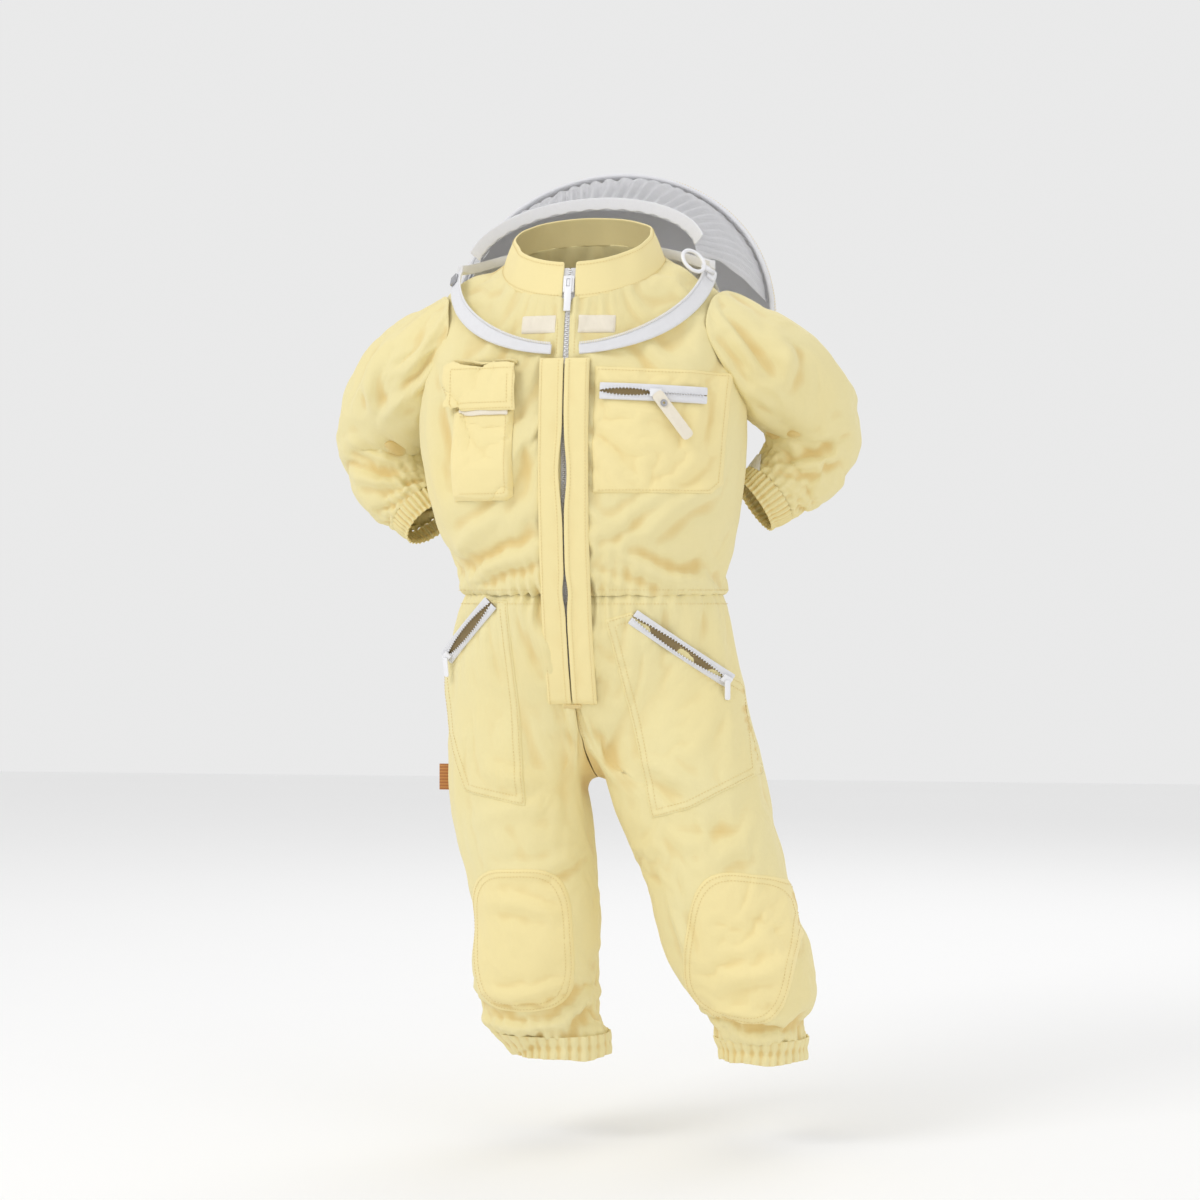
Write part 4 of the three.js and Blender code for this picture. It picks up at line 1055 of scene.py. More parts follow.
BODICE_FOLDS = [
    (76, -278, 153, -220, 9, 6), (18, -286, 157, -155, 7, 3.5), (-40, -130, -32, -278, 8, 3.5),
    (-60, -250, -140, -300, 9, 5), (-128, -130, -112, -215, 8, 4), (-30, -292, -105, -322, 8, 4),
    (128, -128, 118, -205, 8, 4), (60, -300, 130, -322, 8, 4), (-70, -62, -112, -110, 8, 3),
    (70, -62, 112, -110, 8, 3),
]
BODICE_BACK_FOLDS = [
    (-90, -60, -60, -180, 11, 5), (90, -70, 62, -190, 11, 5), (-20, -110, -50, -290, 11, 5),
    (30, -120, 55, -300, 11, 5), (-110, -220, -40, -310, 10, 5), (110, -230, 50, -315, 10, 5),
]
TROUSER_FOLDS = [
    (-20, -435, 5, -477, 6, 4), (-13, -449, 19, -491, 6, 4), (-49, -351, -13, -432, 8, 4),
    (5, -456, 57, -527, 7, 5), (-110, -562, -2, -548, 8, 5), (-85, -611, 6, -590, 7, 5),
    (-95, -640, -10, -655, 7, 4), (-100, -735, -5, -722, 8, 4), (10, -727, -20, -780, 7, 4),
    (94, -576, 199, -569, 8, 5), (120, -606, 194, -587, 7, 4), (148, -712, 226, -692, 8, 5),
    (140, -749, 222, -765, 8, 5), (166, -787, 217, -777, 7, 4), (100, -650, 122, -700, 7, 3),
    (-95, -505, -30, -520, 8, 4), (70, -500, 130, -530, 8, 4), (-96, -772, -10, -768, 7, 4),
]
TROUSER_BACK_FOLDS = [
    (-100, -505, -10, -490, 11, 6), (110, -510, 25, -492, 11, 6), (-90, -560, -20, -545, 9, 5),
    (90, -570, 165, -560, 9, 5), (-100, -668, -10, -672, 9, 6), (110, -672, 205, -668, 9, 6),
    (-90, -700, -15, -715, 8, 5), (130, -705, 215, -715, 8, 5), (60, -380, 90, -470, 11, 5),
    (-50, -380, -80, -470, 11, 5), (140, -760, 215, -752, 8, 5), (-85, -765, -5, -752, 8, 5),
]
SLEEVE_FOLDS = {
    "right": [
        (-283, -110, -225, -140, 7, 5), (-225, -140, -181, -126, 7, 4), (-246, -159, -215, -183, 6, 5),
        (-266, -155, -204, -192, 6, 5), (-212, -224, -165, -228, 6, 4), (-270, -195, -196, -215, 6, 5),
        (-150, -62, -190, -110, 7, 4), (-205, -62, -235, -120, 8, 4), (-130, -110, -180, -128, 7, 4),
    ],
    "left": [
        (172, -155, 211, -122, 6, 4), (211, -122, 250, -52, 7, 5), (165, -187, 200, -134, 6, 5),
        (190, -179, 274, -146, 6, 5), (161, -212, 224, -196, 6, 4), (200, -205, 262, -180, 6, 5),
        (150, -60, 185, -112, 7, 4), (200, -60, 222, -100, 8, 4),
    ],
}
SLEEVE_BACK_FOLDS = {
    "right": [
        (-275, -130, -205, -150, 8, 6), (-280, -165, -215, -170, 7, 6), (-262, -200, -195, -190, 7, 5),
        (-225, -70, -245, -130, 9, 5), (-170, -60, -200, -120, 8, 4),
    ],
    "left": [
        (272, -130, 205, -148, 8, 6), (276, -160, 215, -165, 7, 6), (258, -195, 195, -184, 7, 5),
        (222, -70, 242, -130, 9, 5), (170, -60, 200, -120, 8, 4),
    ],
}


# How far a cloth is kept behind the arc of a zip that lies on it.
BEHIND_CHEST_ZIP = 0.006
BEHIND_POCKET_ZIP = 0.0036
BEHIND_HIP_ZIPS = 0.0042


class SUIT_OT_bodice(bpy.types.Operator):
    """Front and back panels of the bodice, creased and gathered into the waist"""

    bl_idname = "suit.bodice"
    bl_label = "Bodice"
    bl_options = {"REGISTER", "UNDO"}

    def execute(self, context):
        skin = bodice_skin()
        relax(skin, 24)
        add_folds(skin, BODICE_FOLDS)
        add_folds(skin, BODICE_BACK_FOLDS, facing=1)
        relax(skin, 2)
        drape(skin, looks().crease, 0.16, seed=3)
        crinkle(skin, 0.0009, 0.034, 5, (1, 1, 0.55))
        gather(skin, (0, 0, WAIST), (0, 0, 1), 58, 0.0042, 0.022, 8, pinch=0.0025)
        points = points_of(skin)
        in_slot = (np.abs(points[:, 0]) < 0.012) & (points[:, 1] < 0)
        edge = in_slot * (1 - smooth(0.008, 0.012, np.abs(points[:, 0])))
        depths = np.array([front_depth(z) for z in points[:, 2]])
        sunk = 0.0028 * (1 - smooth(0.0025, 0.0065, np.abs(points[:, 0])))
        points[:, 1] += edge * (depths + sunk - points[:, 1])
        set_points(skin, points)
        relax(skin, 1, 0.3)
        zip_arcs()[0].press(skin, BEHIND_CHEST_ZIP)
        mark_folds(skin)
        SKINS["bodice"] = tree_of(skin)
        for panel, name in enumerate(("front_panel_right", "front_panel_left", "back_panel")):
            piece = panel_piece(skin, name.replace("panel", "cloth"), panel)
            nodes = (name,) if panel else (name, "waist_elastic")
            finish(piece, "suit", "cotton", nodes, thick=looks().cloth_thickness)
        bpy.data.objects.remove(skin)
        return {"FINISHED"}


def tuck(skin):
    """Carries the trousers' top edge up inside the bodice, to where the waist is sewn."""
    points = points_of(skin)
    rim = points[:, 2] > WAIST - 0.0025
    points[rim, 2] = WAIST + 0.006
    reach = np.linalg.norm(points[rim, :2], axis=1)
    points[rim, :2] *= ((reach - 0.0022) / reach)[:, None]
    set_points(skin, points)


class SUIT_OT_trousers(bpy.types.Operator):
    """Both trouser legs with the seat, creased at the fork, knees and shins"""

    bl_idname = "suit.trousers"
    bl_label = "Trousers"
    bl_options = {"REGISTER", "UNDO"}

    def execute(self, context):
        skin = trouser_skin()
        relax(skin, 24)
        add_folds(skin, TROUSER_FOLDS)
        add_folds(skin, TROUSER_BACK_FOLDS, facing=1)
        relax(skin, 2)
        drape(skin, looks().crease, 0.16, seed=11)
        crinkle(skin, 0.0011, 0.032, 15, (1, 1, 0.8))
        gather(skin, (0, 0, WAIST), (0, 0, 1), 58, 0.0042, 0.024, 8, pinch=0.0025)
        tuck(skin)
        for zip_arc in zip_arcs()[1:]:
            zip_arc.press(skin, BEHIND_HIP_ZIPS)
        for node in ("ankle_hem_right", "ankle_hem_left"):
            low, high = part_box(node)
            middle = (low + high) / 2
            points = points_of(skin)
            mine = np.abs(points[:, 0] - middle.x) < 0.075
            kept = points.copy()
            gather(skin, (middle.x, middle.y, HEM_TOP), (0, 0, 1), 26, 0.0022, 0.02, 20 + middle.x)
            moved = points_of(skin)
            kept[mine] = moved[mine]
            set_points(skin, kept)
        mark_folds(skin)
        SKINS["trousers"] = tree_of(skin)
        for panel, side in enumerate(("right", "left")):
            piece = panel_piece(skin, f"trouser_cloth_{side}", panel)
            nodes = (f"trouser_leg_{side}",)
            finish(piece, "suit", "cotton", nodes, thick=looks().cloth_thickness)
        bpy.data.objects.remove(skin)
        return {"FINISHED"}


class SUIT_OT_sleeves(bpy.types.Operator):
    """Both sleeves, bent at the elbows, with their gathered cuffs"""

    bl_idname = "suit.sleeves"
    bl_label = "Sleeves"
    bl_options = {"REGISTER", "UNDO"}

    def execute(self, context):
        for side in ("right", "left"):
            arm = Arm(side)
            made, end = arm.skin(f"sleeve_{side}", 104, 70, (0.36, 0.34), lead=0.02)
            sleeve = as_object(made, f"sleeve_cloth_{side}", weld=1e-5)
            relax(sleeve, 14)
            add_folds(sleeve, SLEEVE_FOLDS[side])
            add_folds(sleeve, SLEEVE_BACK_FOLDS[side], facing=1)
            relax(sleeve, 2)
            drape(sleeve, looks().crease, 0.15, seed=21 if side == "right" else 22)
            crinkle(sleeve, 0.001, 0.028, 25)
            middle, along, _, _ = arm.frame_at(end)
            gather(sleeve, middle, along, 24, 0.0022, 0.02, 31)
            mark_folds(sleeve)
            finish(sleeve, "suit", "cotton", (f"sleeve_{side}",), thick=looks().cloth_thickness)
            self.cuff(arm, side)
        return {"FINISHED"}

    def cuff(self, arm, side):
        made, _ = arm.skin(f"cuff_{side}", 180, 18, (0.26, 0.05), lead=0.014, reach=0.05)
        cuff = as_object(made, f"cuff_cloth_{side}", weld=1e-5)
        relax(cuff, 4)
        middle, along, across, deep = arm.frame_at(0.9)
        points, normals = points_of(cuff), normals_of(cuff)
        away = points - middle
        angle = np.arctan2(away @ deep, away @ across)
        height = away @ along
        pleat = np.array([wander(p, 0.03, 41) for p in points])
        wave = np.cos(34 * angle + 2.2 * pleat) * (0.0012 + 0.0007 * np.abs(pleat))
        elastic = -0.0012 * np.exp(-(((height - 0.001) / 0.003) ** 2))
        set_points(cuff, points + normals * (wave + elastic)[:, None])
        mark_folds(cuff, 1, 0.0008)
        finish(cuff, "suit", "cotton", (f"cuff_{side}",), thick=looks().cloth_thickness)


class SUIT_OT_hems(bpy.types.Operator):
    """Gathered ankle hems on their elastic"""

    bl_idname = "suit.hems"
    bl_label = "Ankle hems"
    bl_options = {"REGISTER", "UNDO"}

    def execute(self, context):
        for side in ("right", "left"):
            node = f"ankle_hem_{side}"
            tree = cad_tree(node)
            low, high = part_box(node)
            middle = (low + high) / 2
            columns, rows = 200, 14
            radii = []
            for row in range(rows + 1):
                z = low.z + 0.0006 + (high.z - low.z - 0.0012) * row / rows
                centre = np.array([middle.x, middle.y, z])
                directions = [outward(2 * math.pi * k / columns) for k in range(columns)]
                radii.append([cast(tree, centre, direction, 0.12) for direction in directions])
            radii, _ = fill_open(np.array(radii))
            radii = np.concatenate([radii, radii[:, :1]], axis=1)

            def place(u, v, radii=radii, low=low, high=high, middle=middle):
                radius = radii[round(v * rows), round(u * columns)]
                angle = 2 * math.pi * u
                spot = np.array([middle.x, middle.y, low.z + (high.z - low.z + 0.003) * v])
                bend = wander(spot + outward(angle) * radius, 0.04, 51)
                pleat = math.cos(30 * angle + 2.5 * bend) * (0.001 + 0.0012 * abs(bend))
                drawn = -0.0016 * math.exp(-(((v - 0.5) / 0.16) ** 2))
                uneven = 0.0028 * wander(outward(angle), 0.5, 57 + middle.x) * (1 - v)
                return spot + outward(angle) * (radius + pleat + drawn) + (0, 0, uneven)

            made = surface(columns, rows, (0.36, 0.03), place)
            hem = as_object(made, f"ankle_cloth_{side}", weld=1e-5)
            relax(hem, 1)
            mark_folds(hem, 1, 0.0008)
            finish(hem, "suit", "cotton", (node,), thick=looks().cloth_thickness)
        return {"FINISHED"}


class SUIT_OT_collar(bpy.types.Operator):
    """Stand collar with its topstitching"""

    bl_idname = "suit.collar"
    bl_label = "Collar"
    bl_options = {"REGISTER", "UNDO"}

    def execute(self, context):
        half = 0.0062
        gap = math.asin(half / COLLAR_HALF)

        def place(u, v):
            angle = gap + (2 * math.pi - 2 * gap) * u
            inset = 0.014 * v - 0.0012 * math.sin(math.pi * v)
            wave = 0.0012 * math.sin(7 * angle) * v + 0.0008 * math.sin(13 * angle + 1) * v
            spot = collar_place(angle, COLLAR_HEIGHT * v - 0.002, inset)
            spot[:2] *= 1 + wave / 0.08
            if math.cos(angle) > 0.9:
                spot[0] = math.copysign(max(abs(spot[0]), half), spot[0])
            return spot

        collar = as_object(surface(190, 16, (0.5, COLLAR_HEIGHT), place), "collar_cloth")
        relax(collar, 2)
        mark_folds(collar, 2)
        finish(collar, "suit", "warm", ("collar",), thick=0.002)
        lines = []
        for share in (0.1, 0.9):
            spots = [place(i / 120, share) for i in range(121)]
            out = [Vector((p[0], p[1], 0.0)).normalized() for p in spots]
            lines.append(([Vector(p) + n * 0.0006 for p, n in zip(spots, out)], out))
        stitched("collar_stitching", lines, "suit")
        return {"FINISHED"}


def arc_strip(name, low, high, inner, outer, near, far, material, body, nodes):
    """A strip up the front edge's arc, given by its levels, its lifts and its two sides in metres."""
    rows = max(2, round((high - low) / 0.004))

    def place(u, v):
        z = low + (high - low) * v
        return np.array([near + (far(z) - near) * u, front_depth(z, outer), z])

    made = surface(8, rows, (abs(far(low) - near), high - low), place)
    piece = as_object(made, name, outwards=False)
    towards_front(piece)
    return finish(piece, body, material, nodes, thick=outer - inner, levels=1)


PLACKET_LOW, PLACKET_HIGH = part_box("placket_left")
PLACKET_EDGE = PLACKET_HIGH.x
SLIT_MIDDLE = -0.215  # where the fly gapes over the zip


class SUIT_OT_main_zip(bpy.types.Operator):
    """Tape and teeth of the main zip, under its fly"""

    bl_idname = "suit.main_zip"
    bl_label = "Main zip"
    bl_options = {"REGISTER", "UNDO"}

    def execute(self, context):
        tape_nodes = ("main_zip_tape_right", "main_zip_tape_left")
        for side, node in zip((-1, 1), tape_nodes):
            def outer_edge(z, side=side):
                return side * (0.0205 - 0.0125 * float(smooth(-0.11, -0.09, z)))

            arc_strip(
                f"zip_cloth_{'right' if side < 0 else 'left'}", ZIP_FOOT, ZIP_TOP, -0.0052, -0.004,
                side * 0.0004, outer_edge, "white", "suit", (node,),
            )
        self.teeth()
        for side, node in zip((-1, 1), ("placket_right", "placket_left")):
            self.fly(side, node)
        return {"FINISHED"}

    def teeth(self):
        made = bmesh.new()
        pitch = 0.0021
        count = int((ZIP_TOP - ZIP_FOOT) / pitch)
        for i in range(count):
            z = ZIP_FOOT + (i + 0.5) * pitch
            side = 1 if i % 2 else -1
            spot = Vector((side * 0.0007, front_depth(z, -0.0034), z))
            matrix = Matrix.Translation(spot) @ Matrix.Diagonal((0.0032, 0.0013, 0.0014, 1))
            bmesh.ops.create_cube(made, size=1.0, matrix=matrix)
        bmesh.ops.bevel(
            made, geom=made.edges[:], offset=0.0003, segments=1, profile=0.5, affect="EDGES", material=-1
        )
        teeth = as_object(made, "main_zip_teeth")
        finish(teeth, "suit", "plastic", ("main_zip_chain",), levels=0)

    def fly(self, side, node):
        low, high = PLACKET_LOW.z, PLACKET_HIGH.z

        def inner(z):
            gape = 0.0034 * math.exp(-(((z - SLIT_MIDDLE) / 0.03) ** 2))
            gape += 0.002 * math.exp(-(((z - WAIST - 0.004) / 0.014) ** 2))
            return side * (0.0002 + gape + 0.0002 * (1 + wander((0, 0, z), 0.03, 66 + side)))

        def place(u, v):
            z = low + (high - low) * v
            x = inner(z) + (side * PLACKET_EDGE - inner(z)) * u
            ends = float(smooth(0, 0.012, v)) * float(smooth(1, 0.985, v))
            lift = 0.0014 + 0.0038 * float(smooth(1.0, 0.9, u)) * (0.3 + 0.7 * ends)
            lift += 0.0007 * wander((x, 0, z), 0.02, 64)
            lift += 0.0006 * math.sin(math.pi * min(u * 4, 1))
            return np.array([x, front_depth(z, lift), z])

        name = f"fly_{'left' if side > 0 else 'right'}"
        fly = as_object(surface(14, 150, (0.026, high - low), place), name, outwards=False)
        towards_front(fly)
        mark_folds(fly, 2, 0.0008)
        finish(fly, "suit", "warm", (node,), thick=0.0014)
        lines = []
        for share in (0.2, 0.86):
            spots = [Vector(place(share, i / 100)) + Vector((0, -0.0004, 0)) for i in range(101)]
            lines.append((spots, [Vector((0, -1, 0))] * 101))
        stitched(f"{name}_stitching", lines, "suit")


POCKET_BAG = [(-118, -150), (-52, -150), (-52, -238), (-60, -243), (-118, -243)]
FLAP = [(-124, -106), (-49, -106), (-49, -153), (-118, -153), (-124, -146)]
ZIP_POCKET = [(30, -109), (160, -113), (152, -226), (142, -236), (28, -236)]
FLAP_STAY = [(-124, -100.8), (-49, -100.8), (-49, -106), (-124, -106)]
FLAP_HOOK_TAPE = [(-112, -150), (-56, -150), (-56, -157), (-112, -157)]
HOOK_STRIP = [(11, -56), (48, -56), (48, -75), (11, -75)]
KNEES = {"right": ((-56, -688), (55, 74), 0.04), "left": ((170, -692), (56, 76), -0.16)}
THIGH_RIGHT = [(-63, -342), (-47, -551), (-116, -538), (-138, -480), (-150, -402), (-80, -342)]
THIGH_LEFT = [(38, -362), (80, -563), (120, -552), (188, -517), (176, -432), (65, -354)]


class SUIT_OT_pockets(bpy.types.Operator):
    """Bellows pocket with its flap, the zip pocket, and the hook strips"""

    bl_idname = "suit.pockets"
    bl_label = "Pockets"
    bl_options = {"REGISTER", "UNDO"}

    def execute(self, context):
        tree = SKINS["bodice"]
        bag = laid_patch("pocket_bag", POCKET_BAG, 8.2, tree, edge=5, base=0.4, puff=0.6)
        mark_folds(bag)
        finish(bag, "suit", "warm", ("flap_pocket_bag",), thick=0.001, offset=-1)
        flap = laid_patch("flap_cloth", FLAP, 12.4, tree, edge=3, base=11.4)
        crinkle(flap, 0.0003, 0.03, 73)
        mark_folds(flap)
        finish(flap, "flap", "warm", ("pocket_flap",), thick=0.0013)
        stay = laid_patch("flap_stay", FLAP_STAY, 12, tree, edge=2, base=2)
        finish(stay, "suit", "warm", ("pocket_flap_stay",), thick=0.0012)
        strip = laid_patch("flap_hook_tape", FLAP_HOOK_TAPE, 10.3, tree, edge=1, base=9.6)
        finish(strip, "suit", "cream", ("flap_hook_strip",), thick=0.001)
        pocket = laid_patch("zip_pocket", ZIP_POCKET, 2.2, tree, puff=2.2)
        zip_arcs()[0].press(pocket, BEHIND_POCKET_ZIP)
        mark_folds(pocket)
        finish(pocket, "suit", "warm", ("zip_pocket_bag",), thick=0.001)
        for side, name in ((-1, "right"), (1, "left")):
            outline = [(side * x, z) for x, z in HOOK_STRIP]
            hook = laid_patch(f"hook_cloth_{name}", outline, 2.1, tree, edge=1, base=0.4)
            finish(hook, "suit", "cream", (f"hook_patch_{name}",), thick=0.0009)
        lines = [flat_line(tree_of(pocket), inset_outline(ZIP_POCKET, 3.2)[:-1])]
        lines += [flat_line(tree_of(bag), inset_outline(POCKET_BAG, 7.5)[:-1])]
        stitched("pocket_stitching", lines, "suit")
        cover = tree_of(flap)
        hems = [flat_line(cover, inset_outline(FLAP, 3.2)), flat_line(cover, inset_outline(FLAP, 9)[1:4])]
        stitched("flap_stitching", hems, "flap")
        return {"FINISHED"}


class SUIT_OT_patches(bpy.types.Operator):
    """Knee patches and thigh panels with their double seams"""

    bl_idname = "suit.patches"
    bl_label = "Knee and thigh patches"
    bl_options = {"REGISTER", "UNDO"}

    def execute(self, context):
        tree = SKINS["trousers"]
        for side, (centre, half, turn) in KNEES.items():
            knee = oval_patch(f"knee_cloth_{side}", centre, half, 0.35, 1.9, tree, turn)
            mark_folds(knee)
            self.oval_stitching(side, centre, half, turn, tree_of(knee))
            finish(knee, "suit", "warm", (f"knee_patch_{side}",), thick=0.001)
        for side, outline in (("right", THIGH_RIGHT), ("left", THIGH_LEFT)):
            panel = laid_patch(f"thigh_cloth_{side}", outline, 1.8, tree)
            mark_folds(panel)
            cover = tree_of(panel)
            lines = [flat_line(cover, inset_outline(outline, inset)) for inset in (2.6, 8.5)]
            finish(panel, "suit", "cotton", (f"thigh_panel_{side}",), thick=0.001)
            stitched(f"thigh_stitching_{side}", lines, "suit")
        return {"FINISHED"}

    def oval_stitching(self, side, centre, half, turn, tree):
        power = 2 + 2.2 * 0.65
        lines = []
        for step in (3, 8):
            corners = []
            for i in range(61):
                angle = 2 * math.pi * i / 60
                c, s = math.cos(angle), math.sin(angle)
                reach = (abs(c) ** power + abs(s) ** power) ** (-1 / power)
                wide, tall = (half[0] - step) * c * reach, (half[1] - step) * s * reach
                x = centre[0] + math.cos(turn) * wide - math.sin(turn) * tall
                z = centre[1] + math.sin(turn) * wide + math.cos(turn) * tall
                corners.append((x, z))
            lines.append(flat_line(tree, corners))
        stitched(f"knee_stitching_{side}", lines, "suit")


def softened(name, node, body, material, round_by=0.0004):
    """A copy of a frame node with its sharp edges rounded."""
    made = bmesh.new()
    made.from_mesh(frame["nodes"][node].data)
    bmesh.ops.remove_doubles(made, verts=made.verts, dist=1e-6)
    bmesh.ops.dissolve_limit(made, angle_limit=0.02, verts=made.verts, edges=made.edges)
    sharp = [e for e in made.edges if len(e.link_faces) == 2 and e.calc_face_angle(0) > 0.5]
    bmesh.ops.bevel(
        made, geom=sharp, offset=round_by, segments=2, profile=0.5, affect="EDGES", material=-1,
        clamp_overlap=True,
    )
    bmesh.ops.triangulate(made, faces=[f for f in made.faces if len(f.verts) > 4])
    layer = made.loops.layers.uv.new("cloth")
    for face in made.faces:
        for loop in face.loops:
            loop[layer].uv = (loop.vert.co.x + 0.4 * loop.vert.co.y, loop.vert.co.z)
    piece = as_object(made, name)
    return finish(piece, body, material, (node,), levels=0)


class ZipArc:
    """A pocket's zip: an arc about its joint's axis, through its slider."""

    def __init__(self, name, sweep, share, towards):
        turn = joint(f"{name}_zip_run")
        self.name = name
        self.centre = np.array(turn["pos_m"])
        self.axis = unit(np.array(turn["axis"], float))
        spot = cad_points(f"{name}_zip_slider").mean(0) - self.centre
        self.ray = unit(spot - self.axis * (spot @ self.axis))
        if np.cross(self.axis, self.ray) @ np.array(towards) < 0:
            self.axis = -self.axis
        tape = cad_points(f"{name}_zip_tape") - self.centre
        self.radius = float(np.linalg.norm(tape - np.outer(tape @ self.axis, self.axis), axis=1).max())
        self.sweep = math.radians(sweep)
        self.share = share

    def place(self, s, across, lift=0.0):
        """A point at a share of the arc, off to its side, and the direction out of the suit there."""
        angle = (s - self.share) * self.sweep
        ray = self.ray * math.cos(angle) + np.cross(self.axis, self.ray) * math.sin(angle)
        return self.centre + ray * (self.radius + lift) + self.axis * across, ray

    def gap(self, s):
        """Half the opening behind the slider."""
        behind = s / self.share
        widest = 0.0034 if self.name == "chest" else 0.0042
        return widest * math.sin(math.pi * min(max(behind, 0), 1)) ** 0.7

    def press(self, piece, depth):
        """Keeps a cloth under the zip."""
        points = points_of(piece)
        away = points - self.centre
        across = away @ self.axis
        flat = away - np.outer(across, self.axis)
        reach = np.linalg.norm(flat, axis=1)
        turn = np.arctan2(flat @ np.cross(self.axis, self.ray), flat @ self.ray)
        share = turn / self.sweep + self.share
        near = 1 - smooth(0.010, 0.016, np.abs(across))
        near *= (share > -0.08) & (share < 1.08)
        over = np.maximum(reach - (self.radius - depth), 0) * near
        set_points(piece, points - flat * (over / reach)[:, None])


def zip_arcs():
    return (
        ZipArc("chest", 33.3, 0.5, (1, 0, 0)),
        ZipArc("hip_right", 18.7, 0.94, (-1, 0, -1)),
        ZipArc("hip_left", 23.0, 0.94, (1, 0, -1)),
    )


class SUIT_OT_pocket_zips(bpy.types.Operator):
    """The chest zip and both hip zips with their sliders and pulls"""

    bl_idname = "suit.pocket_zips"
    bl_label = "Pocket zips"
    bl_options = {"REGISTER", "UNDO"}

    def execute(self, context):
        for zip_arc in zip_arcs():
            self.tape(zip_arc)
            self.teeth(zip_arc)
            name = zip_arc.name
            softened(f"{name}_slider", f"{name}_zip_slider", f"{name}_slider", "plastic")
        for side in ("right", "left"):
            pull = f"hip_{side}_pull"
            softened(f"hip_{side}_puller", f"hip_{side}_zip_pull", pull, "plastic", 0.0003)
        softened("chest_tag", "chest_zip_tag", "chest_tag", "cream", 0.0003)
        softened("chest_eyelet", "tag_eyelet", "chest_tag", "steel", 0.0003)
        return {"FINISHED"}

    def tape(self, arc):
        for side in (-1, 1):
            def place(u, v, side=side):
                across = arc.gap(v) + 0.0004 + (0.0082 - arc.gap(v)) * u
                lift = -0.0006 - 0.0012 * float(smooth(0.75, 1.0, u)) + 0.0003 * math.sin(30 * v)
                return arc.place(v, side * across, lift)[0]

            length = arc.sweep * arc.radius
            name = f"{arc.name}_tape_{'low' if side < 0 else 'high'}"
            made = as_object(surface(6, 60, (0.0085, length), place), name, outwards=False)
            towards_front(made, arc.ray)
            node = (f"{arc.name}_zip_tape",)
            finish(made, "suit", "white", node, thick=0.0009)

        # a strip of painted shade, dark brown, laid under the gap between the tapes where the opening is in
        # shade
        def floor(u, v):
            return arc.place(v, (u - 0.5) * 0.014, -0.0026)[0]

        lining = as_object(surface(4, 40, (0.014, 0.1), floor), f"{arc.name}_lining", outwards=False)
        towards_front(lining, arc.ray)
        finish(lining, "suit", "lining", thick=0.0004)

    def teeth(self, arc):
        made = bmesh.new()
        length = arc.sweep * arc.radius
        count = int(length / 0.0017)
        for i in range(2, count - 2):
            side = 1 if i % 2 else -1
            spot, ray = arc.place(i / count, side * (arc.gap(i / count) + 0.0006), 0.0001)
            along = np.cross(arc.axis, ray)
            turn = Matrix((Vector(arc.axis), Vector(along), Vector(ray))).transposed().to_4x4()
            matrix = Matrix.Translation(Vector(spot)) @ turn @ Matrix.Diagonal((0.0026, 0.0011, 0.0011, 1))
            bmesh.ops.create_icosphere(made, subdivisions=1, radius=0.62, matrix=matrix)
        teeth = as_object(made, f"{arc.name}_teeth")
        finish(teeth, "suit", "plastic", levels=0)


NECK_CENTRE = np.array(joint("neck_zip_run_left")["pos_m"])
NECK_AXIS = unit(np.array([0.0, -0.652, 0.758]))
NECK_FRONT = np.array([0.0, -0.758, -0.652])
NECK_RADIUS = 0.1314


def neck_place(angle, mirror, lift, across):
    """A place on the neck zip's cone, from 0 at a shoulder to 90 degrees at the centre front."""
    out = mirror * math.cos(angle) * np.array([1.0, 0, 0]) + math.sin(angle) * NECK_FRONT
    normal, down = unit(out + NECK_AXIS), unit(out - NECK_AXIS)
    return NECK_CENTRE + out * NECK_RADIUS + normal * lift + down * across, normal


def neck_half_width(along):
    """Half the tape's width, which narrows towards the centre front."""
    return 0.0085 - 0.0028 * float(smooth(0.45, 1.0, along))


